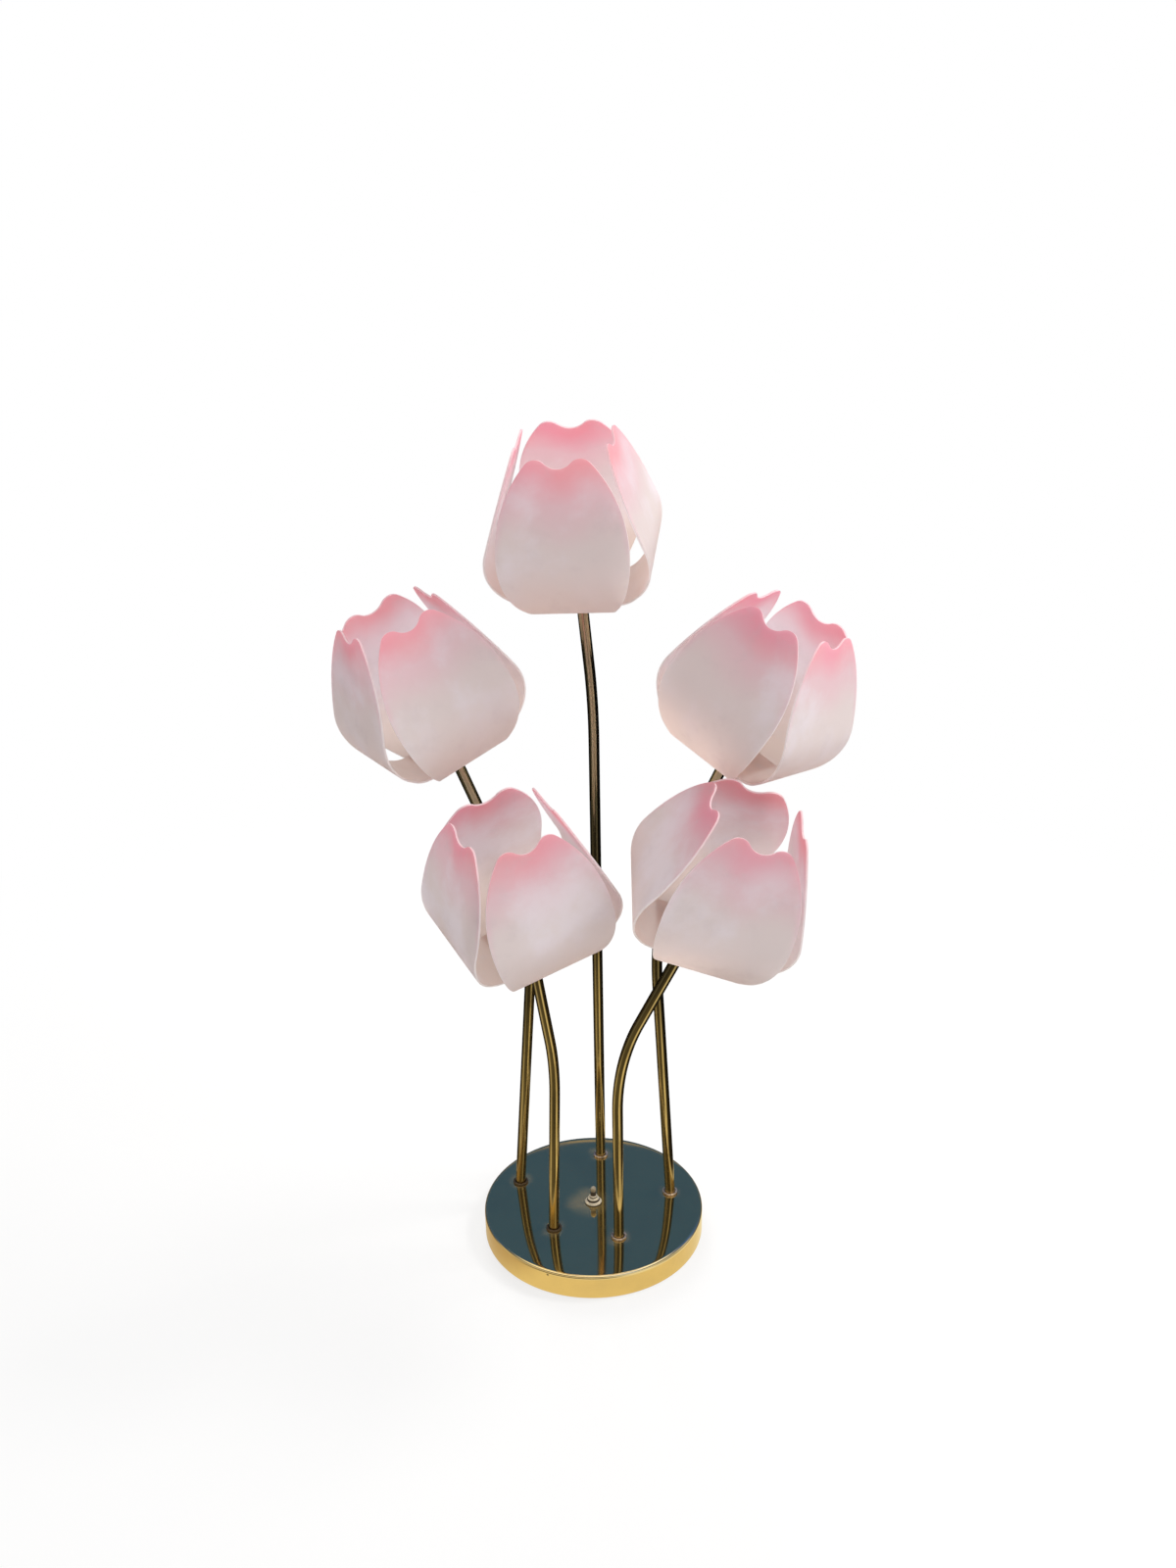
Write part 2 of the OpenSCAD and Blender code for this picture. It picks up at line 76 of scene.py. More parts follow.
def make_camera():
    lens = bpy.data.cameras.new("photo_camera")
    lens.lens, lens.sensor_width = LENS_MM, SENSOR_MM
    camera = linked("photo_camera", lens)
    camera.matrix_world = (
        Matrix.Translation(CAMERA_PLACE)
        @ Matrix.Rotation(-CAMERA_YAW, 4, "Z")
        @ Matrix.Rotation(math.pi / 2 - CAMERA_DOWN, 4, "X")
        @ Matrix.Rotation(CAMERA_ROLL, 4, "Z")
    )
    bpy.context.scene.camera = camera
    return camera


print("camera at", tuple(round(x, 4) for x in make_camera().location))

# %% [markdown]
# ## Numbers that flow through nodes
#
# Materials and Geometry Nodes trees are both made of nodes. Long rows of Math nodes are hard
# to read in a script, so a small class stands for one value in a tree. Adding or multiplying
# two of these values puts the right Math node in the tree.


# %% A value in a node tree
class Field:
    def __init__(self, tree, socket):
        self.tree, self.socket = tree, socket

    def math(self, operation, *others, clamp=False):
        return add(self.tree, "ShaderNodeMath", self, *others, operation=operation, use_clamp=clamp)

    def clamped(self):
        """The same value, kept between 0 and 1."""
        return self.math("ADD", 0.0, clamp=True)

    def other(self, name):
        """Another output of the same node."""
        return Field(self.tree, self.socket.node.outputs[name])

    def __add__(self, other):
        return self.math("ADD", other)

    def __sub__(self, other):
        return self.math("SUBTRACT", other)

    def __mul__(self, other):
        return self.math("MULTIPLY", other)

    def __truediv__(self, other):
        return self.math("DIVIDE", other)

    def __pow__(self, other):
        return self.math("POWER", other)

    __radd__ = __add__
    __rmul__ = __mul__

    def __rsub__(self, other):
        return self * -1 + other


def connect(tree, value, socket):
    """Gives a socket a value, or a link when the value comes from another node."""
    if isinstance(value, Field):
        tree.links.new(value.socket, socket)
    elif value is not None:
        socket.default_value = value


def add(tree, kind, *inputs, out=0, named=None, **settings):
    """Adds a node with its settings, and its inputs in order or by name."""
    node = tree.nodes.new(kind)
    for name, value in settings.items():
        setattr(node, name, value)
    for socket, value in zip(node.inputs, inputs):
        connect(tree, value, socket)
    for name, value in (named or {}).items():
        connect(tree, value, node.inputs[name])
    return Field(tree, node.outputs[out])


def either(first, second):
    return first.math("MAXIMUM", second)


def choose(test, yes, no):
    """One of two numbers: yes where test is 1, no where it is 0."""
    return no + (yes - no) * test


def xyz(x, y, z):
    return add(x.tree, "ShaderNodeCombineXYZ", x, y, z)


def split(vector):
    x = add(vector.tree, "ShaderNodeSeparateXYZ", vector)
    return x, x.other("Y"), x.other("Z")


def vectors(operation, first, second=None, out="Vector"):
    return add(first.tree, "ShaderNodeVectorMath", first, second, operation=operation, out=out)


# %% [markdown]
# ## Patterns for finishes
#
# A finish is built from a few patterns: soft clouds of noise, a ramp that turns a number into
# another range, and a mix of two colours. The patterns read Object coordinates, so they stay
# in place on the piece when the camera or the pose changes.


# %% Pattern helpers
def attribute(tree, name):
    return add(tree, "ShaderNodeAttribute", out="Fac", attribute_name=name)


def stretched(place, scale, turn=(0, 0, 0)):
    return add(place.tree, "ShaderNodeMapping", place, named={"Scale": scale, "Rotation": turn})


def clouds(place, scale, detail, roughness=0.55, out=0):
    """Soft noise from 0 to 1. Scale is in features for each metre."""
    named = {"Vector": place, "Scale": scale, "Detail": detail, "Roughness": roughness}
    return add(place.tree, "ShaderNodeTexNoise", named=named, out=out)


def remap(value, low, high, to_low=0, to_high=1, smooth=False):
    """Turns the range from low to high into another range, and stops at its ends."""
    kind = "SMOOTHSTEP" if smooth else "LINEAR"
    ends = (low, high, to_low, to_high)
    return add(value.tree, "ShaderNodeMapRange", value, *ends, interpolation_type=kind)


def rgba(value):
    return (*value, 1) if isinstance(value, tuple) and len(value) == 3 else value


def mix_colour(share, first, second):
    """A colour between first and second, as share goes from 0 to 1."""
    node = share.tree.nodes.new("ShaderNodeMix")
    node.data_type = "RGBA"
    for name, value in (("Factor_Float", share), ("A_Color", first), ("B_Color", second)):
        socket = next(s for s in node.inputs if s.identifier == name)
        connect(share.tree, rgba(value), socket)
    return Field(share.tree, next(s for s in node.outputs if s.identifier == "Result_Color"))


def colour_steps(value, steps, smooth=True):
    """A colour ramp. Steps are pairs of a position and a colour."""
    ramp = add(value.tree, "ShaderNodeValToRGB", value)
    bands = ramp.socket.node.color_ramp
    bands.interpolation = "EASE" if smooth else "LINEAR"
    while len(bands.elements) < len(steps):
        bands.elements.new(0.5)
    for element, (position, colour) in zip(bands.elements, steps):
        element.position, element.color = position, rgba(colour)
    return ramp


def bump(height, strength, distance):
    named = {"Strength": strength, "Distance": distance, "Height": height}
    return add(height.tree, "ShaderNodeBump", named=named)


# %% [markdown]
# ## Finishes
#
# Each finish is one material, kept by its name. Most are named like the slots of the frame, and
# a piece asks for its finish by that name.

# %% A new finish, and its last nodes
finishes = {}


def new_finish(name):
    """The finish's empty tree, and the place on the piece that its patterns read."""
    finishes[name] = material = bpy.data.materials.new(name)
    material.use_nodes = True
    material.node_tree.nodes.clear()
    tree = material.node_tree
    return tree, add(tree, "ShaderNodeTexCoord", out="Object")


def principled(tree, **named):
    """A Principled shader. Keys are its inputs with _ for a space."""
    words = {key.replace("_", " "): rgba(value) for key, value in named.items()}
    return add(tree, "ShaderNodeBsdfPrincipled", named=words)


def mix_shaders(tree, share, first, second):
    return add(tree, "ShaderNodeMixShader", share, first, second)


def show(shader, output="ShaderNodeOutputMaterial"):
    end = shader.tree.nodes.new(output)
    shader.tree.links.new(shader.socket, end.inputs["Surface"])


# %% [markdown]
# ## Light and floor
#
# The lamp is lit like a catalogue piece: soft light from all round, and large soft lamps beside
# and behind it, so that the shades glow from inside. Polished metal is different, because it
# shows what stands round it. A photographer lays paper and sets up cards for that, and here the
# world and the floor show them only to glossy rays. Round the lamp stand pale golden and dark
# cards. The front is pale low down, the back is a blue-green sky with one thin golden band,
# and the top is bright. Camera rays see plain white.

# %% What light and metal see: heights go from -1, straight down, to 1, straight up
PLAIN_LIGHT, PLAIN_STRENGTH = (1.0, 0.985, 0.975), 0.63
ZENITH, ZENITH_FROM = (1.4, 1.3, 1.05), (0.78, 0.86)
LOW_FRONT, CARDS_FROM = (0.78, 0.68, 0.46), (0.44, 0.56)
BACK_FROM = 0.1, 0.35
SKY, BAND = (0.040, 0.114, 0.318), (0.8, 0.66, 0.4)
SKY_BACK = [
    (-0.1, (0.03, 0.03, 0.03)),
    (0.0, (0.10, 0.10, 0.09)),
    (0.03, (0.55, 0.52, 0.42)),
    (0.1, (0.05, 0.11, 0.28)),
    (0.530, SKY),
    (0.532, BAND),
    (0.537, BAND),
    (0.539, SKY),
    (1.0, (0.045, 0.12, 0.33)),
]
DARK_CARD, GOLD_CARD = (0.02, 0.018, 0.015), (0.60, 0.54, 0.37)
CARDS = [
    (0.0, DARK_CARD),
    (0.21, (0.035, 0.03, 0.022)),
    (0.25, (0.22, 0.19, 0.12)),
    (0.30, GOLD_CARD),
    (0.33, GOLD_CARD),
    (0.36, (0.17, 0.15, 0.09)),
    (0.47, (0.10, 0.085, 0.05)),
    (0.53, (0.11, 0.095, 0.055)),
    (0.565, (0.85, 0.77, 0.52)),
    (0.615, (0.95, 0.86, 0.58)),
    (0.65, (0.14, 0.12, 0.07)),
    (0.69, DARK_CARD),
    (1.0, DARK_CARD),
]
HIGH_TINT, FAR_TINT = (0.45, 0.60, 1.25), (0.22, 0.235, 0.28)


def cards(x, y, tint=(1, 1, 1)):
    """The colours of the cards round the lamp, from behind it by its left to behind it again."""
    way = x.math("ARCTAN2", y * -1) / (2 * math.pi) + 0.5
    steps = [(place, tuple(c * t for c, t in zip(colour, tint))) for place, colour in CARDS]
    return colour_steps(way, steps, smooth=False)


def by_ray(tree, lighting, mirrored, seen):
    """One shader for the light, one for metal to mirror, and one for the camera."""

    def ray(name):
        return add(tree, "ShaderNodeLightPath", out=name)

    lit = mix_shaders(tree, ray("Is Glossy Ray"), lighting, mirrored)
    straight = either(ray("Is Camera Ray"), ray("Is Transmission Ray"))
    return mix_shaders(tree, straight, lit, seen)


# %% The world
def make_world():
    world = bpy.data.worlds.new("studio")
    world.use_nodes = True
    tree = world.node_tree
    tree.nodes.clear()
    x, back, up = split(add(tree, "ShaderNodeTexCoord", out="Generated"))
    raised = remap(up, *CARDS_FROM, smooth=True)
    front = mix_colour(raised, LOW_FRONT, cards(x, back, HIGH_TINT))
    halved = [(height * 0.5 + 0.5, colour) for height, colour in SKY_BACK]
    behind = colour_steps(up * 0.5 + 0.5, halved, smooth=False)
    around = mix_colour(remap(back, *BACK_FROM, smooth=True), front, behind)
    around = mix_colour(remap(up, *ZENITH_FROM, smooth=True), around, ZENITH)
    soft = add(tree, "ShaderNodeBackground", rgba(PLAIN_LIGHT), PLAIN_STRENGTH)
    mirrored = add(tree, "ShaderNodeBackground", around, 1.0)
    white = add(tree, "ShaderNodeBackground", (1, 1, 1, 1), 1.0)
    show(by_ray(tree, soft, mirrored, white), "ShaderNodeOutputWorld")
    bpy.context.scene.world = world


make_world()
bpy.context.scene.view_settings.view_transform = "Standard"
print("world made, view transform", bpy.context.scene.view_settings.view_transform)

# %% The floor
FLOOR_HALF = 4.0
FLOOR_GREY = (0.86, 0.86, 0.86)
FLOOR_SEEN = [(0.0, (0.72,) * 3), (0.12, (0.78,) * 3), (0.28, (1.0,) * 3)]
# The paper that metal mirrors is darker on its left: a painted shadow of the lamp.
PAPER, PAPER_PAINTED_SHADOW = (0.95, 0.85, 0.58), (0.62, 0.50, 0.32)
PAINTED_SHADOW_EDGE, PAPER_ENDS, CARDS_DIM = (-0.11, -0.06), (0.125, 0.16), (0.22, 0.55)


def floor_finish():
    """Pale grey that turns to white further off, with paper and cards for metal to mirror. The
    paper is darker on its left, a painted shadow of the lamp.
    """
    tree, place = new_finish("pale_floor")
    x, y, _ = split(place)
    distance = vectors("LENGTH", place, out="Value")
    grey = add(tree, "ShaderNodeBsdfDiffuse", rgba(FLOOR_GREY))
    glow = add(tree, "ShaderNodeEmission", (1, 1, 1, 1), 1.0)
    seen = mix_shaders(tree, colour_steps(distance / FLOOR_HALF, FLOOR_SEEN), grey, glow)
    paper = mix_colour(remap(x, *PAINTED_SHADOW_EDGE, 1, 0, smooth=True), PAPER, PAPER_PAINTED_SHADOW)
    far = remap(distance, *CARDS_DIM, smooth=True)
    around = mix_colour(far, cards(x, y), cards(x, y, FAR_TINT))
    around = mix_colour(remap(distance, *PAPER_ENDS, smooth=True), paper, around)
    show(by_ray(tree, grey, add(tree, "ShaderNodeEmission", around, 1.0), seen))


def make_floor():
    floor_finish()
    bpy.ops.mesh.primitive_plane_add(size=2 * FLOOR_HALF)
    floor = bpy.context.object
    floor.name = "floor"
    floor.data.materials.append(finishes["pale_floor"])
    return floor


print("floor", make_floor().dimensions.x, "m across")

# %% The lamps of the studio
LAMPS_AIM = Vector((0, 0, 0.42))


def soft_lamp(name, place, size, watts, colour):
    """A round soft lamp that metal doesn't mirror."""
    light = bpy.data.lights.new(name, "AREA")
    light.shape, light.size = "DISK", size
    light.energy, light.color = watts, colour
    lamp = linked(name, light)
    lamp.location = place
    lamp.rotation_mode = "QUATERNION"
    lamp.rotation_quaternion = (LAMPS_AIM - Vector(place)).to_track_quat("-Z", "Y")
    lamp.visible_glossy = False


soft_lamp("key_lamp", (1.26, 0.18, 1.83), 0.5, 19.5, (1.0, 0.985, 0.955))
soft_lamp("front_lamp", (1.2, -0.75, 1.15), 0.7, 5, (1.0, 0.99, 0.985))
soft_lamp("back_lamp", (-0.3, 1.4, 1.3), 1.0, 15, (1.0, 0.99, 0.97))

# %% [markdown]
# ## The lamp's own sizes
#
# The base is an 8 inch spun pan and the stems are 3/8 inch tube. Each stem leans in a little,
# rises, bends out and runs straight to its shade. These are the numbers that the CAD model was
# drawn with, so the pieces made from them land where the CAD pieces are. A stem's row holds its
# foot's place, its lean, the length of its rise, the radius and angle of its bend, the length of
# its end, the way it leans out, and the way its shade faces.

# %% Sizes in millimetres and degrees
BASE_R, BASE_H, SHELL_WALL, RIM_R, RIM_LOW = 101.6, 25.0, 1.2, 2.5, 1.0
STEM_R, STEM_WALL, STEM_LOW, FOOT_TOP, FOOT_BEND_R = 4.75, 0.8, 9.2, 26.0, 40.0
SHEET_T = 1.6
STEMS = {
    "top": ((8, 71.5), 0, 433, 300, 14, 72, 250, 261.5),
    "upper_left": ((-69, 32), 4.4, 206, 300, 20.5, 120, 200, 300.5),
    "upper_right": ((72.5, 12.5), 3.2, 221, 334, 24, 78, 343, 229),
    "lower_left": ((-36.5, -36), 4, 134, 180, 15.5, 114, 245, 297),
    "lower_right": ((22.5, -49.5), 0, 134, 220, 26, 106, 329, 271.5),
}


def shift(x, y, z):
    return Matrix.Translation((x, y, z))


def turn(axis, degrees):
    return Matrix.Rotation(math.radians(degrees), 4, axis)


def at_foot(name):
    (x, y), *_, out, _ = STEMS[name]
    return shift(x, y, 0) @ turn("Z", out)


def at_head(name):
    """Where the shade stands: +Z along the stem's end, +X the way its outer petals face."""
    _, lean, rise, bend, tilt, end, out, facing = STEMS[name]
    low, whole = math.radians(lean), math.radians(lean + tilt)
    return (
        at_foot(name)
        @ shift(-FOOT_BEND_R * (1 - math.cos(low)), 0, FOOT_TOP + FOOT_BEND_R * math.sin(low))
        @ turn("Y", -lean)
        @ shift(bend * (1 - math.cos(whole)), 0, rise + bend * math.sin(whole))
        @ turn("Y", lean + tilt)
        @ shift(0, 0, end)
        @ turn("Z", facing - out)
    )


for name in STEMS:
    print(name, "shade stands at", [round(x, 1) for x in at_head(name).translation], "mm")

# %% [markdown]
# ## Making and placing a piece
#
# A finished piece keeps its object at the origin, and its place is in its mesh, as the CAD
# nodes do. One function does that for all: it moves the mesh from millimetres to metres, gives
# it its finish, hangs it on an empty for the body that it rides on, and hides the CAD node that
# it stands for. It also prints how well the piece is closed and how far its box is from that of
# the CAD node.


# %% Measures of a piece
def closed(mesh):
    """The number of open edges and the volume in cubic millimetres, before it is placed."""
    work = bmesh.new()
    work.from_mesh(mesh)
    open_edges = sum(1 for edge in work.edges if not edge.is_manifold)
    volume = work.calc_volume(signed=True)
    work.free()
    return f"{open_edges} open edges, {volume:.1f} mm3"


def off_the_node(piece, node):
    """How far the piece's low and high corners are from those of its CAD node, in millimetres."""
    corners = list(zip(*piece.bound_box))
    ours = [min(c) for c in corners], [max(c) for c in corners]
    return [
        [round((a - b) / MM, 2) for a, b in zip(end, cad)] for end, cad in zip(ours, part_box(node))
    ]


# %% Finish a piece
made = []
STAYS = Matrix.Identity(4)


def finish_piece(name, node, mesh, finish, place=STAYS, body="lamp", one_finish=True):
    """Places a mesh in millimetres and finishes it. Only a strip keeps several finishes."""
    print(name, "has", len(mesh.polygons), "faces,", closed(mesh))
    mesh.transform(Matrix.Scale(MM, 4) @ place)
    mesh.name = name
    if one_finish:
        mesh.materials.clear()
        mesh.materials.append(finishes[finish])
    for polygon in mesh.polygons:
        polygon.use_smooth = True
    piece = linked(name, mesh)
    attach(piece, body)
    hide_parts(node)
    made.append(piece)
    print("  off the CAD node by", *off_the_node(piece, node), "mm")


# %% A plain mesh from an object with live modifiers
def plain_mesh(thing):
    bpy.context.view_layer.update()
    depsgraph = bpy.context.evaluated_depsgraph_get()
    mesh = bpy.data.meshes.new_from_object(
        thing.evaluated_get(depsgraph), preserve_all_data_layers=True, depsgraph=depsgraph
    )
    bpy.data.objects.remove(thing)
    return mesh


# %% [markdown]
# ## Geometry Nodes trees
#
# What follows a path or a rule is grown by Geometry Nodes. A tree has a named input for each
# size. It is given its sizes through a modifier, its result is taken as a plain mesh, and the
# modifier's object is thrown away.

# %% Make a tree and grow a mesh from it
KINDS = {float: "Float", int: "Int"}


def new_tree(name, inputs):
    """A new tree and its inputs. An input is given by its usual value, or else by its kind."""
    tree = bpy.data.node_groups.new(name, "GeometryNodeTree")
    for label, value in inputs.items():
        kind = "NodeSocket" + KINDS.get(type(value), str(value))
        socket = tree.interface.new_socket(label, in_out="INPUT", socket_type=kind)
        if type(value) in KINDS:
            socket.default_value = value
    tree.interface.new_socket("Geometry", in_out="OUTPUT", socket_type="NodeSocketGeometry")
    entry = tree.nodes.new("NodeGroupInput")
    return tree, {label: Field(tree, entry.outputs[label]) for label in inputs}


def end_tree(geometry, material=None):
    """Ends a tree in plain geometry with its material set."""
    tree = geometry.tree
    if material:
        geometry = add(tree, "GeometryNodeRealizeInstances", geometry)
        geometry = add(tree, "GeometryNodeSetMaterial", geometry, named={"Material": material})
    output = tree.nodes.new("NodeGroupOutput")
    tree.links.new(geometry.socket, output.inputs["Geometry"])
    return tree


def grow(tree, inputs, seed=None):
    """The mesh that a tree makes from its inputs, and from a seed mesh if it needs one."""
    thing = linked("seed", seed or bpy.data.meshes.new("seed"))
    modifier = thing.modifiers.new("grow", "NODES")
    modifier.node_group = tree
    for item in tree.interface.items_tree:
        if item.in_out == "INPUT" and item.name in inputs:
            modifier[item.identifier] = inputs[item.name]
    return plain_mesh(thing)


# %% Steps that several trees take
def keep(geometry, name, value, domain="POINT", kind="FLOAT"):
    """Stores a value on the geometry under a name that materials can read."""
    named = {"Geometry": geometry, "Name": name, "Value": value}
    store = "GeometryNodeStoreNamedAttribute"
    return add(geometry.tree, store, named=named, domain=domain, data_type=kind)


def moved_to(geometry, place):
    named = {"Geometry": geometry, "Position": place}
    return add(geometry.tree, "GeometryNodeSetPosition", named=named)


# %% [markdown]
# ## A line with two bends
#
# A strip of sheet and a tube are bent in the same way: straight, bend, straight, bend,
# straight. The line could be put together from arcs, but there is a simpler rule. Walk along
# it in small steps, and at each step know only the direction. The direction is a sum of two
# clamped ramps, one for each bend, and adding up all the steps gives the line. An Accumulate
# Field node does the adding.

# %% The bent line as a node group
BENT_LINE = {
    "First length": 10.0,
    "First radius": 10.0,
    "First angle": 0.5,
    "Middle length": 10.0,
    "Second radius": 10.0,
    "Second angle": 0.5,
    "Last length": 10.0,
    "Steps": 100,
}


def make_bent_line():
    """The line starts along +X and bends towards +Z."""
    tree, size = new_tree("bent_line", BENT_LINE)
    first_arc = size["First radius"] * size["First angle"].math("ABSOLUTE")
    second_arc = size["Second radius"] * size["Second angle"].math("ABSOLUTE")
    second_start = size["First length"] + first_arc + size["Middle length"]
    step = (second_start + second_arc + size["Last length"]) / size["Steps"]
    index = add(tree, "GeometryNodeInputIndex")
    along = (index - 0.5) * step
    first_share = (along - size["First length"]).math("DIVIDE", first_arc, clamp=True)
    second_share = (along - second_start).math("DIVIDE", second_arc, clamp=True)
    direction = size["First angle"] * first_share + size["Second angle"] * second_share
    walked = step * index.math("GREATER_THAN", 0.5)
    move = xyz(direction.math("COSINE") * walked, 0.0, direction.math("SINE") * walked)
    place = add(tree, "GeometryNodeAccumulateField", move, data_type="FLOAT_VECTOR")
    line = add(tree, "GeometryNodeCurvePrimitiveLine", named={"End": (1, 0, 0)})
    named = {"Curve": line, "Count": size["Steps"] + 1}
    return end_tree(moved_to(add(tree, "GeometryNodeResampleCurve", named=named), place))


bent_line = make_bent_line()


def follow_bent_line(*sizes):
    """The bent line in another tree. The sizes come in the order of BENT_LINE."""
    named = dict(zip(BENT_LINE, sizes))
    return add(sizes[0].tree, "GeometryNodeGroup", node_tree=bent_line, named=named)


print("bent_line has", len(bent_line.nodes), "nodes")

# %% [markdown]
# ## The frosted sheet
#
# The shades are cut from plastic sheet that is frosted on both sides and tinted: rose at the
# tips, fading to a greyish lilac. Low down the outside turns a darker warm beige, a painted
# shade, and the inside is lighter than the outside, most of all low down, a painted light. The
# tint could be a plain ramp up the petal, but it also runs down the side edges. So it reads two
# attributes that the strip's tree stores, the distance from the tip and from the side edge, and
# slow noise makes its border uneven. The outside, the inside and the cut edge have finishes of
# their own. Light goes through the sheet softly, so a Translucent shader is mixed with the
# surface, and more of it passes low down, where the shades glow most.

# %% Finishes of the shades
ROSE = (0.91, 0.53, 0.575), (0.905, 0.52, 0.605)
PALE_ROSE = (0.885, 0.72, 0.755)
PALE_PATCH, GREY_PATCH = (0.93, 0.905, 0.94), (0.75, 0.70, 0.71)
# Painted shade: the outside's low part is a darker beige. Painted light: the inside is lighter,
# most of all low down.
OUTSIDE_WITH_PAINTED_SHADE = {"body": (0.875, 0.795, 0.81), "low": (0.80, 0.665, 0.615)}
INSIDE_WITH_PAINTED_LIGHT = {"body": (0.87, 0.825, 0.81), "low": (0.94, 0.93, 0.90)}
ROSE_REACH, SIDE_STEEPER, SIDE_FOLLOWS_TIP = 64, 2.8, 0.7
PASSES_LOW, PASSES_HIGH, PASSES_EDGE = 0.78, 0.5, 0.5


def sheet_tint(tree, place, raised, drift, body, low):
    """A rose tip that fades to the body's colour, then the low part's, under pale patches."""
    from_tip, from_side = attribute(tree, "from_tip"), attribute(tree, "from_side")
    side = from_side * SIDE_STEEPER + from_tip * SIDE_FOLLOWS_TIP
    gap = from_tip.math("MINIMUM", side) / ROSE_REACH + drift
    rose = mix_colour(remap(clouds(place, 9, 2), 0.4, 0.6), *ROSE)
    fade = mix_colour(remap(gap, 0.05, 0.42), rose, PALE_ROSE)
    fade = mix_colour(remap(gap, 0.35, 1.0, smooth=True), fade, body)
    # Low down this is painted shade on the outside and painted light on the inside.
    tint = mix_colour(remap(raised, 0.08, 0.5, 1, 0, smooth=True), fade, low)
    pale = remap(clouds(place, 15, 8, 0.6), 0.45, 0.64, 0, 0.66, smooth=True)
    pale = pale * remap(gap, 0.1, 0.6, 0.2, 1) * remap(raised, 0.15, 0.45, 0.2, 1)
    grey = remap(clouds(place, 38, 8, 0.66), 0.50, 0.74, 0, 0.30, smooth=True)
    return mix_colour(grey, mix_colour(pale, tint, PALE_PATCH), GREY_PATCH)


def frosted_sheet(name, body, low):
    tree, place = new_finish(name)
    drift = remap(clouds(place, 20, 4), 0.25, 0.75, -0.09, 0.09)
    raised = attribute(tree, "tip") + drift * 0.5
    colour = sheet_tint(tree, place, raised, drift, body, low)
    frost = clouds(place, 2600, 2, 0.7)
    grain = bump(frost, 0.12, 0.0002)
    surface = principled(
        tree,
        Base_Color=colour,
        Roughness=remap(frost, 0.2, 0.8, 0.42, 0.58),
        Normal=grain,
        Specular_IOR_Level=0.35,
    )
    glow = add(tree, "ShaderNodeBsdfTranslucent", colour, grain)
    passes = remap(raised, 0.12, 0.5, PASSES_LOW, PASSES_HIGH, smooth=True)
    show(mix_shaders(tree, passes, surface, glow))


frosted_sheet("frosted_sheet", **OUTSIDE_WITH_PAINTED_SHADE)
frosted_sheet("frosted_sheet_inside_painted_light", **INSIDE_WITH_PAINTED_LIGHT)

# %% The cut edge
EDGE_TINT = [(0.0, (0.93, 0.88, 0.86)), (0.7, (0.97, 0.93, 0.93)), (1.0, (1.0, 0.88, 0.9))]
EDGE_DUST = (0.88, 0.82, 0.82)


def cut_edge():
    tree, place = new_finish("cut_edge")
    fine = clouds(place, 900, 3)
    clean = colour_steps(attribute(tree, "tip"), EDGE_TINT)
    colour = mix_colour(remap(fine, 0.3, 0.7, 0, 0.2), clean, EDGE_DUST)
    surface = principled(tree, Base_Color=colour, Roughness=remap(fine, 0.3, 0.7, 0.25, 0.4))
    glow = add(tree, "ShaderNodeBsdfTranslucent", colour)
    show(mix_shaders(tree, PASSES_EDGE, surface, glow))


cut_edge()
print("finishes so far:", list(finishes))

# %% [markdown]
# ## The petal strips
#
# One strip makes two petals that face each other. Its shape is a rule in two parts. From the
# side it is the bent line. From the front it has an outline: two long arcs that are widest at
# a little under half the height, two round lobes at the top, and a soft notch between them.
# A grid is bent along the line, and each of its rows is as wide as the outline there. The
# grid's last row follows the lobes and the notch.

# %% Sizes of a strip
FLAT_WIDTH, WIDEST, WIDEST_UP = 58.5, 104, 62.0
SIDE_RISE = (WIDEST - FLAT_WIDTH) / 2
STRIP = {
    "Flat half": 30.0,
    "Low radius": 25.0,
    "Low angle": math.radians(46),
    "Web": 6.0,
    "Side radius": 45.0,
    "Side angle": math.radians(64),
    "Petal": 76.7,
    "Thickness": SHEET_T,
    "Half width": WIDEST / 2,
    "Widest height": WIDEST_UP,
    "Low edge radius": (SIDE_RISE**2 + WIDEST_UP**2) / (2 * SIDE_RISE),
    "Lobe place": 17.5,
    "Lobe radius": 10.7,
    "Notch depth": 7.0,
    "Rows": 72,
    "Columns": 64,
}


# %% The outline
def top_edge(size, height, share):
    """Half width and height of the top edge. Share goes from 0 in the notch to 1 at the side."""
    lobe_x, lobe_r, notch = size["Lobe place"], size["Lobe radius"], size["Notch depth"]
    lobe_z = height - lobe_r
    inward = size["Half width"] - lobe_x
    upward = lobe_z - size["Widest height"]
    high_r = (inward * inward + upward * upward - lobe_r * lobe_r) / ((inward - lobe_r) * 2)
    side_turn = upward.math("ARCTAN2", high_r - inward)
    notch_r = lobe_x * lobe_x / (notch * 2) - lobe_r + notch / 2
    notch_z = height - notch + notch_r
    meet = (lobe_z - notch_z).math("ARCTAN2", lobe_x)
    notch_arc = notch_r * (meet + math.pi / 2)
    lobe_arc = lobe_r * (meet + math.pi - side_turn)
    notch_share = notch_arc / (notch_arc + lobe_arc)
    in_notch = share.math("LESS_THAN", notch_share)
    notch_turn = remap(share, 0.0, notch_share, -math.pi / 2, meet)
    lobe_turn = remap(share, notch_share, 1.0, meet + math.pi, side_turn)
    on_lobe = lobe_x + lobe_r * lobe_turn.math("COSINE")
    across = choose(in_notch, notch_r * notch_turn.math("COSINE"), on_lobe)
    lobe_up = lobe_z + lobe_r * lobe_turn.math("SINE")
    up = choose(in_notch, notch_z + notch_r * notch_turn.math("SINE"), lobe_up)
    return across, up, high_r


def half_width(size, height, high_r):
    """Half the outline's width at a height: the two long arcs meet at the widest place."""
    above = height - size["Widest height"]
    radius = choose(above.math("LESS_THAN", 0.0), size["Low edge radius"], high_r)
    return size["Half width"] - radius + (radius * radius - above * above).math("SQRT")


# %% The bent strip
STRIP_LINE_STEPS = 600


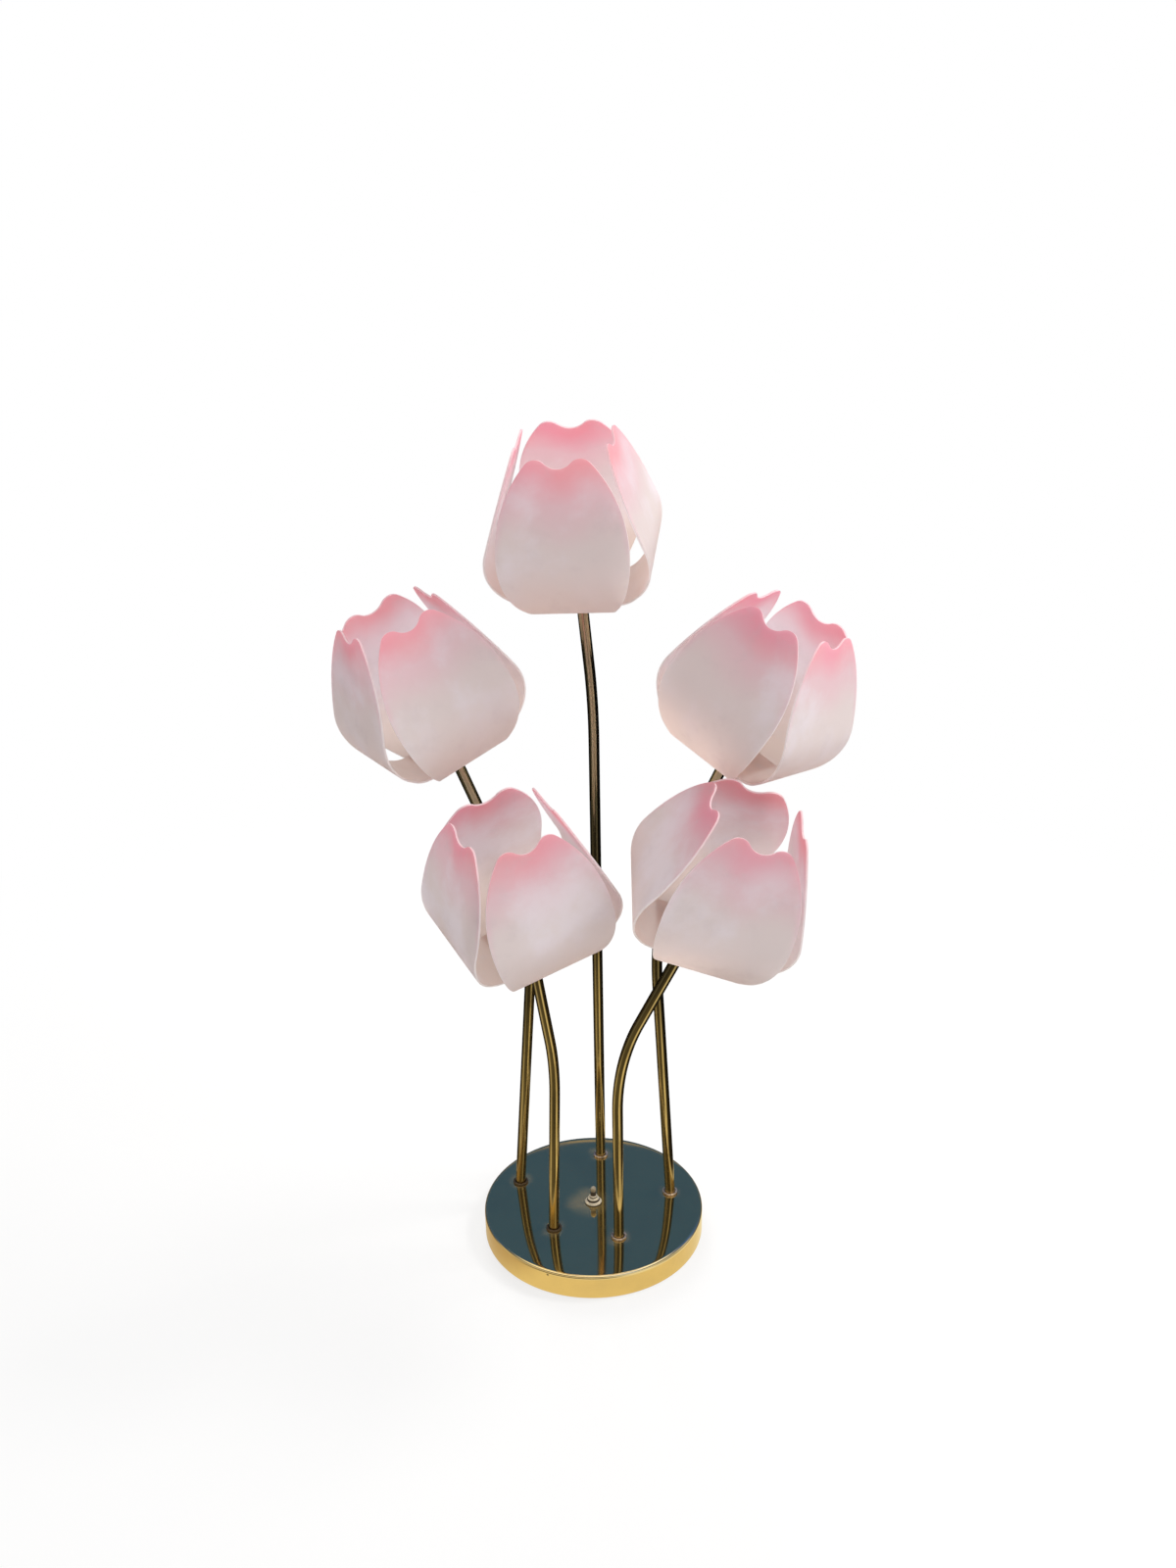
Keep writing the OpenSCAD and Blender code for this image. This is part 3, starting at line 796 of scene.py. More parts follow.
def petal_foot(size):
    """Where the straight petal starts, along the strip and in height, and its slope as a sine."""
    low, side = size["Low angle"], size["Side angle"]
    bends = size["Low radius"] * low + size["Side radius"] * side
    whole = low + side
    height = (
        size["Thickness"] / 2
        + size["Low radius"] * (1 - low.math("COSINE"))
        + size["Web"] * low.math("SINE")
        + size["Side radius"] * (low.math("COSINE") - whole.math("COSINE"))
    )
    return size["Flat half"] + size["Web"] + bends, height, whole.math("SINE")


def strip_line(size):
    steps = "Flat half", "Low radius", "Low angle", "Web", "Side radius", "Side angle", "Petal"
    return follow_bent_line(*[size[name] for name in steps], STRIP_LINE_STEPS)


def on_line(line, walked):
    named = {"Curves": line, "Length": walked}
    kind = "GeometryNodeSampleCurve"
    return add(line.tree, kind, out="Position", named=named, mode="LENGTH", use_all_curves=False)


def make_strip_tree():
    tree, size = new_tree("petal_strip", STRIP)
    petal_start, start_height, slope = petal_foot(size)
    height = start_height + size["Petal"] * slope
    counts = size["Rows"] * 2 + 1, size["Columns"] + 1
    grid = add(tree, "GeometryNodeMeshGrid", 2.0, 2.0, *counts)
    along, across, _ = split(add(tree, "GeometryNodeInputPosition"))
    flat_map = xyz(across * 0.5 + 0.5, along * 0.5 + 0.5, 0.0)
    grid = keep(grid, "UVMap", flat_map, "CORNER", "FLOAT2")
    edge_x, edge_z, high_r = top_edge(size, height, across.math("ABSOLUTE"))
    reach = along.math("ABSOLUTE")
    late = reach**4
    full = petal_start + size["Petal"]
    own = petal_start + (edge_z - start_height) / slope
    walked = reach * full - (full - own) * late
    line_x, _, line_z = split(on_line(strip_line(size), walked))
    up = line_z + size["Thickness"] / 2
    edge_share = edge_x / half_width(size, edge_z, high_r) * across.math("SIGN")
    wide = half_width(size, up, high_r) * (across + (edge_share - across) * late)
    grid = keep(grid, "from_tip", own - walked)
    bent = moved_to(grid, xyz(line_x * along.math("SIGN"), wide, up))
    _, sideways, raised = split(add(tree, "GeometryNodeInputPosition"))
    bent = keep(bent, "tip", raised / height)
    side_gap = half_width(size, raised, high_r) - sideways.math("ABSOLUTE")
    return end_tree(keep(bent, "from_side", side_gap), finishes["frosted_sheet"])


# %% Give the sheet its thickness and rounded edges
SHEET_SHRINK, EDGE_ROUND = 0.06, 0.5
STRIP_FINISHES = "frosted_sheet", "cut_edge", "frosted_sheet_inside_painted_light"


def thick_strip():
    """A bent sheet with both faces and a rounded cut edge, as one closed mesh."""
    mesh = grow(make_strip_tree(), STRIP)
    mesh.materials.clear()
    for finish in STRIP_FINISHES:
        mesh.materials.append(finishes[finish])
    strip = linked("strip", mesh)
    wall = strip.modifiers.new("wall", "SOLIDIFY")
    wall.thickness, wall.offset = SHEET_T - SHEET_SHRINK, 0
    wall.material_offset = STRIP_FINISHES.index("frosted_sheet_inside_painted_light")
    wall.material_offset_rim = STRIP_FINISHES.index("cut_edge")
    edge = strip.modifiers.new("edge", "BEVEL")
    edge.width, edge.segments = EDGE_ROUND, 3
    edge.limit_method, edge.angle_limit = "ANGLE", math.radians(60)
    edge.material = STRIP_FINISHES.index("cut_edge")
    return plain_mesh(strip)


strip_mesh = thick_strip()
print("a strip:", closed(strip_mesh))

# %% Two strips on each stem
CROSSED = shift(0, 0, SHEET_T) @ turn("Z", 90)
for name in STEMS:
    for part, place in (("outer", at_head(name)), ("inner", at_head(name) @ CROSSED)):
        piece, node = f"{part}_strip_{name}", f"{part}_petals_{name}"
        finish_piece(piece, node, strip_mesh.copy(), "frosted_sheet", place, one_finish=False)

# %% [markdown]
# ## Metals
#
# Each metal is a metallic Principled shader whose colour and gloss change over the piece.
# Handling and air leave a metal uneven: dull clouds, and fine marks that only a bump shows. One
# function makes the plain metals. The switch, the foot rings, the base and the stems show
# most, and have finishes of their own.


# %% A plain metal
def metal(name, bright, dull, roughness, cloud_scale, marks=0.15):
    """Bright metal with dull clouds and fine marks. Roughness is a pair: polished and dull."""
    tree, place = new_finish(name)
    cloud = remap(clouds(place, cloud_scale, 5), 0.35, 0.7)
    fine = clouds(stretched(place, (300, 2400, 300)), 1.0, 3)
    surface = principled(
        tree,
        Base_Color=mix_colour(cloud, bright, dull),
        Metallic=1.0,
        Roughness=remap(cloud, 0, 1, *roughness),
        Normal=bump(fine, marks, 0.00005),
    )
    show(surface)


metal("raw_brass", (0.78, 0.58, 0.27), (0.48, 0.34, 0.15), (0.2, 0.38), 160)
metal("steel", (0.56, 0.57, 0.58), (0.38, 0.38, 0.39), (0.28, 0.45), 150)
metal("iron", (0.14, 0.14, 0.145), (0.07, 0.065, 0.06), (0.5, 0.75), 60, marks=0.6)
metal("lead", (0.42, 0.33, 0.16), (0.25, 0.19, 0.09), (0.35, 0.5), 200)

# %% The switch's nickel
SLOPES_TO, HEAD_FROM = 34.2, 37.4
NICKEL, NICKEL_DULL, NICKEL_PAINTED_SHADE = (0.90, 0.80, 0.60), (0.74, 0.64, 0.46), (0.07, 0.055, 0.04)


def worn_nickel():
    """Painted highlight on the sloping faces of the nut and the neck, painted shade on the upright
    walls and flat faces, and the pin's head a little lighter.
    """
    tree, place = new_finish("nickel")
    cloud = remap(clouds(place, 420, 5), 0.35, 0.7)
    height = split(place)[2]
    facing_up = split(add(tree, "ShaderNodeNewGeometry", out="Normal"))[2]
    # Painted highlight: bright nickel on faces that slope upward, below the nut's top.
    painted_highlight = remap(facing_up, 0.2, 0.45) * remap(facing_up, 0.88, 0.97, 1, 0)
    painted_highlight = painted_highlight * height.math("LESS_THAN", SLOPES_TO * MM)
    head = remap(height, (HEAD_FROM - 0.5) * MM, (HEAD_FROM + 0.5) * MM)
    # Painted shade: nearly black on upright walls and flat faces; the pin's head is a little
    # lighter.
    painted_shade = 1 - either(painted_highlight, head * 0.45)
    surface = principled(
        tree,
        Base_Color=mix_colour(painted_shade, mix_colour(cloud, NICKEL, NICKEL_DULL), NICKEL_PAINTED_SHADE),
        Metallic=0.35,
        Roughness=painted_shade * 0.15 + cloud * 0.08 + 0.22,
    )
    show(surface)


worn_nickel()

# %% The rings' brass
RING_BRIGHT, RING_DARK = (0.70, 0.56, 0.45), (0.11, 0.08, 0.05)


def ring_brass():
    """The two rings on the left are dark, and the others are bright."""
    tree, place = new_finish("dark_brass")
    on_the_left = remap(split(place)[0], -0.02, -0.03)
    dark = either(on_the_left, remap(clouds(place, 330, 5), 0.42, 0.66, 0, 0.75))
    surface = principled(
        tree,
        Base_Color=mix_colour(dark, RING_BRIGHT, RING_DARK),
        Metallic=0.8,
        Roughness=remap(dark, 0, 1, 0.2, 0.42),
    )
    show(surface)


ring_brass()

# %% [markdown]
# ## Polished brass for the base
#
# The top of the base is a mirror, lacquered and a little worn: soft brown halos where air and
# fingers reached it round the rings and the switch, a few dark specks, and faint scratches. A
# pale line along the front of its rounded edge, brighter on the right, is a painted highlight.
# A painted image could hold all that, but distances and noise stay sharp at any size. Each halo is
# the distance to a ring's middle, made
# uneven by noise. All of it is in the colour and the roughness, because the mirror itself has
# to stay flat.

# %% Halos of tarnish: the middle's x and y, the near and far radius, and the depth
HALOS = [(*STEMS[name][0], 6.0, 15.0, 0.12) for name in STEMS] + [(-6, 0, 4.0, 25.0, 0.22)]
HALO_DRIFT = 12.0


def halos(place):
    """How deep the tarnish is: the deepest of all the halos at a place."""
    drift = stretched(clouds(place, 45, 2, 0.5, "Color"), (HALO_DRIFT * MM,) * 3)
    uneven = vectors("ADD", place, drift)
    shades = []
    for x, y, near, far, depth in HALOS:
        middle = ((x + HALO_DRIFT / 2) * MM, (y + HALO_DRIFT / 2) * MM, BASE_H * MM)
        gap = vectors("DISTANCE", uneven, middle, out="Value")
        shades.append(remap(gap, near * MM, far * MM, 1, 0, smooth=True) * depth)
    shade = shades[0]
    for other in shades[1:]:
        shade = either(shade, other)
    return shade


# %% The base's finish
BRASS, TARNISH, SPECK = (0.78, 0.58, 0.25), (0.21, 0.19, 0.16), (0.05, 0.04, 0.03)
PAINTED_RIM_HIGHLIGHT = (0.95, 0.85, 0.60)
RIM_FROM, RIM_TO, RIM_UP_FROM, RIM_UP_TO = 98.9, 100.0, 20.5, 22.3


def rim_at(x, y, z):
    """1 on the rounded edge and 0 away from it."""
    radius = (x * x + y * y).math("SQRT")
    out = remap(radius, RIM_FROM * MM, RIM_TO * MM)
    return out * remap(z, RIM_UP_FROM * MM, RIM_UP_TO * MM)


def few_specks(place):
    """Small dots in a few of the cells that a Voronoi texture makes."""
    cells = add(place.tree, "ShaderNodeTexVoronoi", named={"Vector": place, "Scale": 75})
    chosen = split(cells.other("Color"))[0].math("GREATER_THAN", 0.86)
    return remap(cells, 0.05, 0.12, 1, 0) * chosen


def polished_brass():
    tree, place = new_finish("polished_brass")
    x, y, z = split(place)
    shade, specks, rim = halos(place), few_specks(place), rim_at(x, y, z)
    cloud = remap(clouds(place, 30, 6, 0.6), 0.45, 0.75)
    colour = mix_colour((shade * 0.9 + cloud * 0.12).clamped(), BRASS, TARNISH)
    colour = mix_colour(specks * 0.8, colour, SPECK)
    # Painted highlight: a pale line on the front of the rounded edge, brighter towards the right.
    painted_rim_highlight = rim * remap(x, -0.06, 0.05, 0.15, 0.85) * remap(y, -0.05, -0.02, 1, 0)
    colour = mix_colour(painted_rim_highlight, colour, PAINTED_RIM_HIGHLIGHT)
    lines = clouds(stretched(place, (9, 900, 9), (0, 0, 0.5)), 1.0, 2)
    scratch = remap(lines, 0.7, 0.76, 0, 0.05)
    rough = shade * 0.2 + cloud * 0.03 + specks * 0.3 + scratch + rim * 0.08 + 0.045
    show(principled(tree, Base_Color=colour, Metallic=0.988 - shade * 0.85, Roughness=rough))


polished_brass()

# %% [markdown]
# ## Aged brass for the stems
#
# The tubes are the same brass with less polish. Higher up their colour is painted darker and
# duller, a painted reflection of the dark surroundings that they mirror. Their tarnish lies in
# long streaks, because a cloth runs along a tube. A pattern on Object coordinates would cut
# across the bends. This one reads how far along and how far round the tube a point is, which
# the sweep stores, so that the streaks follow the bends.

# %% The stems' finish
STEM_BRASS, STEM_TARNISH, HIGH_BRASS_PAINTED_REFLECTION = (0.70, 0.53, 0.24), (0.20, 0.14, 0.07), (0.30, 0.27, 0.19)
DARKER_FROM, DARKER_TO = 220, 400


def aged_brass():
    tree, place = new_finish("aged_brass")
    along, round_it = attribute(tree, "along"), attribute(tree, "round")
    angle = round_it * (2 * math.pi)
    tube_map = xyz(angle.math("COSINE"), angle.math("SINE"), along * 0.012)
    moved = vectors("ADD", tube_map, stretched(place, (9, 9, 0)))
    streak = remap(clouds(moved, 1.6, 5, 0.6), 0.46, 0.70)
    blotch = remap(clouds(place, 120, 5, 0.65), 0.55, 0.75)
    aged = (streak * 0.6 + blotch * 0.25).clamped()
    colour = mix_colour(aged, STEM_BRASS, STEM_TARNISH)
    # Painted reflection: from 220 to 400 mm up the colour turns darker and duller.
    high = remap(split(place)[2], DARKER_FROM * MM, DARKER_TO * MM, 0, 0.75)
    surface = principled(
        tree,
        Base_Color=mix_colour(high, colour, HIGH_BRASS_PAINTED_REFLECTION),
        Metallic=1.0,
        Roughness=aged * 0.2 + 0.1,
        Normal=bump(clouds(xyz(round_it * 120, along * 0.2, 0.0), 1.0, 2), 0.08, 0.0001),
    )
    show(surface)


aged_brass()
print("finishes so far:", list(finishes))

# %% [markdown]
# ## The stems
#
# A stem is 3/8 inch brass tube, bent by hand. Its middle line is the bent line again, stood
# upright: a short vertical foot that goes through the base, a small bend that lets the stem
# lean in, a long rise, and the wide bend that carries the shade out. A circle is swept along
# it, and a Solidify modifier gives the tube its wall.

# %% The stem's tree
STEM = {
    "Foot": FOOT_TOP - STEM_LOW,
    "Foot bend": FOOT_BEND_R,
    "Lean": 0.0,
    "Rise": 100.0,
    "Bend": 300.0,
    "Turn": 0.3,
    "End": 100.0,
    "Tube radius": STEM_R,
    "Thread cut": 0.15,
    "Steps": 420,
    "Sides": 48,
}


def make_stem_tree():
    tree, size = new_tree("stem", STEM)
    foot, bend, lean = size["Foot"], size["Foot bend"], size["Lean"] * -1
    rest = [size[name] for name in ("Rise", "Bend", "Turn", "End", "Steps")]
    line = follow_bent_line(foot, bend, lean, *rest)
    ahead, _, aside = split(add(tree, "GeometryNodeInputPosition"))
    path = moved_to(line, xyz(aside, 0.0, ahead))
    along = add(tree, "GeometryNodeSplineParameter", out="Length")
    path = keep(path, "along", along)
    radius = 1 - along.math("LESS_THAN", foot) * size["Thread cut"] / size["Tube radius"]
    path = add(tree, "GeometryNodeSetCurveRadius", named={"Curve": path, "Radius": radius})
    named = {"Resolution": size["Sides"], "Radius": size["Tube radius"]}
    ring = add(tree, "GeometryNodeCurvePrimitiveCircle", named=named)
    ring = keep(ring, "round", add(tree, "GeometryNodeInputIndex") / size["Sides"])
    named = {"Curve": path, "Profile Curve": ring}
    tube = add(tree, "GeometryNodeCurveToMesh", named=named)
    return end_tree(tube, finishes["aged_brass"])


stem_tree = make_stem_tree()


# %% Five stems
def stem_mesh(name):
    _, lean, rise, bend, tilt, end, _, _ = STEMS[name]
    own = dict(Rise=float(rise), Bend=float(bend), End=float(end))
    angles = dict(Lean=math.radians(lean), Turn=math.radians(lean + tilt))
    tube = linked("tube", grow(stem_tree, {**STEM, **own, **angles}))
    wall = tube.modifiers.new("wall", "SOLIDIFY")
    wall.thickness, wall.offset = STEM_WALL, -1
    return plain_mesh(tube)


for name in STEMS:
    place = at_foot(name) @ shift(0, 0, STEM_LOW)
    finish_piece("tube_" + name, "stem_" + name, stem_mesh(name), "aged_brass", place)

# %% [markdown]
# ## Turned pieces
#
# The base, the rings, the switch, the holders and the bulbs are all round. A lathe makes such
# a piece from half of its section, and so does the next function. The corners of the section
# are rounded first, since no real edge is sharp and a rounded one catches a line of light.

# %% Round the corners of a section
CORNER_STEPS = 4


def rounded(corners):
    """Corners are (radius from the axis, height, corner radius). Gives points on the outline."""
    points = []
    for k, (x, z, radius) in enumerate(corners):
        here = Vector((x, z))
        if not radius:
            points.append(here)
            continue
        before = Vector(corners[k - 1][:2]) - here
        after = Vector(corners[(k + 1) % len(corners)][:2]) - here
        half = before.angle(after) / 2
        side = 1 if before.x * after.y - before.y * after.x < 0 else -1
        before.normalize()
        after.normalize()
        middle = here + (before + after).normalized() * (radius / math.sin(half))
        start = here + before * (radius / math.tan(half)) - middle
        sweep = (math.pi - 2 * half) * side
        for n in range(CORNER_STEPS + 1):
            point = start.copy()
            point.rotate(Matrix.Rotation(sweep * n / CORNER_STEPS, 2))
            points.append(middle + point)
    return points


# %% Turn a section on the lathe
def turned(section, sides=96):
    """A closed mesh from a closed half section of (radius, height) points."""
    work = bmesh.new()
    angles = [2 * math.pi * k / sides for k in range(sides)]
    rings = []
    for x, z in section:
        if x < 1e-6:
            rings.append([work.verts.new((0, 0, z))] * sides)
        else:
            rings.append([work.verts.new((x * math.cos(a), x * math.sin(a), z)) for a in angles])
    for ring, above in zip(rings, rings[1:] + rings[:1]):
        for k in range(sides):
            corners = [ring[k], ring[k - 1], above[k - 1], above[k]]
            face = list(dict.fromkeys(corners))
            if len(face) > 2:
                work.faces.new(face)
    bmesh.ops.recalc_face_normals(work, faces=work.faces)
    mesh = bpy.data.meshes.new("turned")
    work.to_mesh(mesh)
    work.free()
    return mesh


# %% [markdown]
# ## The base
#
# The base is a pan of brass sheet spun over a form: a polished top, a rounded edge and an
# upright side wall, open at the bottom. Spinning leaves the top very slightly crowned. It
# drops a little under a millimetre towards its edge, and that is why the mirrored stems bend
# there. The section is drawn from the middle of the top, out and down the outside, and back up
# the inside.

# %% The section of the base
CROWN_START, CROWN_DROP, CROWN_POWER, CROWN_STEPS = 58.0, 0.65, 2.8, 24
CROWN_END = BASE_R - RIM_R
CROWN_WIDTH = CROWN_END - CROWN_START
ARC_STEPS, INNER_ARC_STEPS = 10, 4
LIP_TOP, LIP_IN = 1.3, 0.3


def crown(radius):
    """How far the top has dropped at a radius."""
    return CROWN_DROP * max(0, (radius - CROWN_START) / CROWN_WIDTH) ** CROWN_POWER


def base_section():
    step = CROWN_WIDTH / CROWN_STEPS
    radii = [0, 20, 40, CROWN_START] + [CROWN_START + step * k for k in range(1, CROWN_STEPS + 1)]
    top = [(r, BASE_H - crown(r)) for r in radii]
    low = BASE_H - crown(CROWN_END) - RIM_R
    slope = math.atan(CROWN_POWER * CROWN_DROP / CROWN_WIDTH)
    arc = [
        (CROWN_END + RIM_R * math.sin(a), low + RIM_R * math.cos(a))
        for a in (slope + (math.pi / 2 - slope) * k / ARC_STEPS for k in range(1, ARC_STEPS + 1))
    ]
    wall = [(BASE_R, z) for z in (18, 14, 10, 6, 3, LIP_TOP)] + [(BASE_R - LIP_IN, RIM_LOW)]
    inner, small = BASE_R - SHELL_WALL, RIM_R - SHELL_WALL
    inside = [(inner + LIP_IN, RIM_LOW)] + [(inner, z) for z in (LIP_TOP, 10, low)]
    inside += [
        (inner - small + small * math.cos(a), low + small * math.sin(a))
        for a in (math.pi / 2 * k / INNER_ARC_STEPS for k in range(1, INNER_ARC_STEPS + 1))
    ]
    under = [(r, BASE_H - SHELL_WALL - crown(r)) for r in (90, 80, 70, CROWN_START, 30, 0)]
    return top + arc + wall + inside + under


# %% Spin the base and drill the hole for the lead
INLET = shift(0, BASE_R, 11) @ turn("X", -90)
INLET_NECK_R, INLET_BORE_R = 4.75, 3.25
HOLE_R, HOLE_IN, HOLE_OUT = INLET_NECK_R + 0.1, -8, 4


def drilled(mesh, drill):
    """The mesh with the shape of the drill cut away."""
    blank, tool = linked("blank", mesh), linked("drill", drill)
    cut = blank.modifiers.new("cut", "BOOLEAN")
    cut.operation, cut.object, cut.solver = "DIFFERENCE", tool, "EXACT"
    result = plain_mesh(blank)
    bpy.data.objects.remove(tool)
    return result


hole = turned([(0, HOLE_IN), (HOLE_R, HOLE_IN), (HOLE_R, HOLE_OUT), (0, HOLE_OUT)], sides=64)
hole.transform(INLET)
shell = drilled(turned(base_section(), sides=256), hole)
finish_piece("spun_base", "base_shell", shell, "polished_brass")

# %% [markdown]
# ## Rings, nuts and washers
#
# The same small piece is found at each stem's foot or head, so it is made once and a tree puts
# a copy at each place. The places are five points, and each carries the turn of its copy.

# %% A tree that places copies
COPIES = {"Places": "Geometry", "Piece": "Object", "Finish": "Material"}


def make_copies_tree():
    tree, given = new_tree("copies", COPIES)
    shape = add(tree, "GeometryNodeObjectInfo", given["Piece"], out="Geometry")
    read = "GeometryNodeInputNamedAttribute"
    way = add(tree, read, named={"Name": "turn"}, data_type="FLOAT_VECTOR")
    named = {"Points": given["Places"], "Instance": shape, "Rotation": way}
    return end_tree(add(tree, "GeometryNodeInstanceOnPoints", named=named), given["Finish"])


copies_tree = make_copies_tree()


def place_copies(name, node, shape, places, finish):
    """One piece, with a copy of the shape at each of the places."""
    points = bpy.data.meshes.new("places")
    points.from_pydata([place.translation for place in places], [], [])
    turns = points.attributes.new("turn", "FLOAT_VECTOR", "POINT")
    for k, place in enumerate(places):
        turns.data[k].vector = place.to_euler()
    model = linked("model", shape)
    mesh = grow(copies_tree, {"Piece": model, "Finish": finishes[finish]}, points)
    bpy.data.objects.remove(model)
    finish_piece(name, node, mesh, finish)


# %% The beaded ring round each foot
FEET = [shift(*STEMS[name][0], 0) for name in STEMS]
HEADS = [at_head(name) for name in STEMS]
RING_BORE_R, BEAD_R, BEAD_TOP = 4.85, 7.1, BASE_H + 2.1

ring = turned(rounded([
    (RING_BORE_R, BASE_H, 0.1), (BEAD_R, BASE_H, 0.6),
    (BEAD_R, BEAD_TOP, 1.1), (RING_BORE_R, BEAD_TOP, 0.9),
]), sides=64)
place_copies("beaded_rings", "foot_rings", ring, FEET, "dark_brass")

# %% [markdown]
# ## Nuts
#
# A hexagon nut is cut from bar and its corners are turned off at 30 degrees. The mesh is a
# turned blank first, and each of its points outside a flat is brought back to it.

# %% Hexagon nuts
WEIGHT_H, WASHER_H, FOOT_NUT_H = 9, 0.8, 3.4
FOOT_NUT_Z = BASE_H - SHELL_WALL - WEIGHT_H - WASHER_H - FOOT_NUT_H
HEAD_NUT_Z, HEAD_NUT_H = 2 * SHEET_T + 1, 3
SIXTH, CHAMFER_STEPS = math.pi / 3, 4


def hex_nut(across_flats, bore, low, high):
    flat = across_flats / 2
    spare = flat / math.cos(SIXTH / 2) - flat
    drop = spare * math.tan(math.pi / 6)
    shares = [k / CHAMFER_STEPS for k in range(CHAMFER_STEPS + 1)]
    lower = [(flat + spare * share, low + drop * share) for share in shares]
    upper = [(flat + spare * share, high - drop * share) for share in shares[::-1]]
    mesh = turned([(bore, low)] + lower + upper + [(bore, high)], sides=72)
    for vertex in mesh.vertices:
        x, y = vertex.co.x, vertex.co.y
        radius = math.hypot(x, y)
        limit = flat / math.cos(math.atan2(y, x) % SIXTH - SIXTH / 2)
        if radius > limit:
            vertex.co.x, vertex.co.y = x * limit / radius, y * limit / radius
    return mesh


foot_nut = hex_nut(13, 4.65, low=FOOT_NUT_Z, high=FOOT_NUT_Z + FOOT_NUT_H)
place_copies("clamp_nuts", "foot_nuts", foot_nut, FEET, "raw_brass")
head_nut = hex_nut(12, 3.95, low=HEAD_NUT_Z, high=HEAD_NUT_Z + HEAD_NUT_H)
place_copies("head_nuts", "shade_nuts", head_nut, HEADS, "raw_brass")

# %% [markdown]
# ## The switch
#
# A push switch stands in the middle of the base: a threaded neck with a narrower collar, a
# round nut that clamps it, and a pin with a ball for a head. All are nickel plated. Their walls
# and flat faces carry painted shade, nearly black, and their sloping edges a painted highlight,
# with the pin's head a little lighter. The pin is the one piece that moves, so it rides on the
# button's body.

# %% Switch pieces
NECK_R, COLLAR_R, PIN_R = 5.2, 3.7, 2.65
NECK_BORE_R = PIN_R + 0.08
NUT_R, NUT_BORE_R, NUT_TOP = 7.75, NECK_R + 0.05, BASE_H + 3.0

nut = turned(rounded([
    (NUT_BORE_R, BASE_H, 0.1), (NUT_R, BASE_H, 0.3), (NUT_R, BASE_H + 1.2, 0.3),
    (6.2, BASE_H + 2.8, 0.3), (6.0, NUT_TOP, 0.1), (NUT_BORE_R, NUT_TOP, 0.1),
]))
finish_piece("switch_round_nut", "switch_nut", nut, "nickel")
neck = turned(rounded([
    (NECK_BORE_R, BASE_H - 4.2, 0.1), (NECK_R, BASE_H - 4.2, 0.1), (NECK_R, BASE_H + 4.7, 0.2),
    (COLLAR_R, BASE_H + 6.2, 0.2), (COLLAR_R, BASE_H + 7.4, 0.2), (NECK_BORE_R, BASE_H + 8.4, 0.1),
]))
finish_piece("switch_neck", "switch_bushing", neck, "nickel")
pin = turned(rounded([
    (0, 18.9, 0), (4.0, 18.9, 0.15), (4.0, 20.5, 0.3), (PIN_R, 20.5, 0.2), (PIN_R, 35.8, 0.4),
    (1.9, 36.9, 0.4), (PIN_R, 38.1, 0.9), (PIN_R, 42.0, 2.2), (0, 42.0, 0),
]), sides=64)
finish_piece("switch_pin", "switch_button", pin, "nickel", body="button")

# %% [markdown]
# ## Plastics, felt and glass
#
# These finishes are plain beside the metals, but none of them is one flat colour. Moulded
# plastic has a faint orange peel and dusty clouds, felt is a tangle of fibres in several
# greens, board is pressed from fibres of two browns, and a bulb is frosted inside.


# %% Finishes that aren't metal
def dull_finish(name, first, second, scale, roughness, strength=0.15, depth=0.0001):
    """Two colours in clouds, with a fine bump of a strength and a depth in metres."""
    tree, place = new_finish(name)
    cloud = remap(clouds(place, scale, 6, 0.6), 0.35, 0.68)
    fine = clouds(place, scale * 12, 3)
    surface = principled(
        tree,
        Base_Color=mix_colour(cloud, first, second),
        Roughness=remap(fine, 0.3, 0.7, *roughness),
        Normal=bump(fine, strength, depth),
    )
    show(surface)


GLASS, GLASS_DULL, GLASS_PASSES = (0.93, 0.92, 0.88), (0.86, 0.85, 0.80), 0.45


def frosted_glass():
    tree, place = new_finish("bulb_glass")
    fine = clouds(place, 700, 4)
    colour = mix_colour(remap(fine, 0.3, 0.7), GLASS, GLASS_DULL)
    surface = principled(tree, Base_Color=colour, Roughness=remap(fine, 0.3, 0.7, 0.12, 0.22))
    glow = add(tree, "ShaderNodeBsdfTranslucent", colour)
    show(mix_shaders(tree, GLASS_PASSES, surface, glow))


FELT_FUZZ, BOARD_FUZZ = (0.9, 0.0006), (0.5, 0.0002)
dull_finish("holder_plastic", (0.045, 0.035, 0.03), (0.09, 0.07, 0.055), 120, (0.28, 0.42))
dull_finish("black_plastic", (0.02, 0.02, 0.02), (0.05, 0.048, 0.045), 140, (0.38, 0.55))
dull_finish("felt", (0.02, 0.07, 0.045), (0.05, 0.13, 0.085), 420, (0.92, 1.0), *FELT_FUZZ)
dull_finish("board", (0.17, 0.11, 0.065), (0.26, 0.18, 0.11), 300, (0.75, 0.95), *BOARD_FUZZ)
frosted_glass()
print("all finishes:", list(finishes))

# %% [markdown]
# ## Screw threads
#
# A rolled thread is a wave in a thin wall. It could be swept along a helix, but then it would
# have to be joined to the wall. The wave climbs one pitch for each turn, so moving each point
# of a turned mesh in or out by the wave at its height and angle gives a true helix.

# %% Put a rolled thread on a turned mesh
PITCH, THREAD_STEP = 2.1, 0.3


def roll_thread(mesh, low, high, depth):
    """Moves the points between two heights in by a wave that climbs one pitch for each turn."""
    for vertex in mesh.vertices:
        x, y, z = vertex.co
        radius = math.hypot(x, y)
        fade = max(0, min(1, (z - low) / PITCH, (high - z) / PITCH))
        if radius < 1 or not fade:
            continue
        wave = 0.5 - 0.5 * math.cos(2 * math.pi * z / PITCH - math.atan2(y, x))
        scale = (radius - depth * fade * wave) / radius
        vertex.co.x, vertex.co.y = x * scale, y * scale
    return mesh


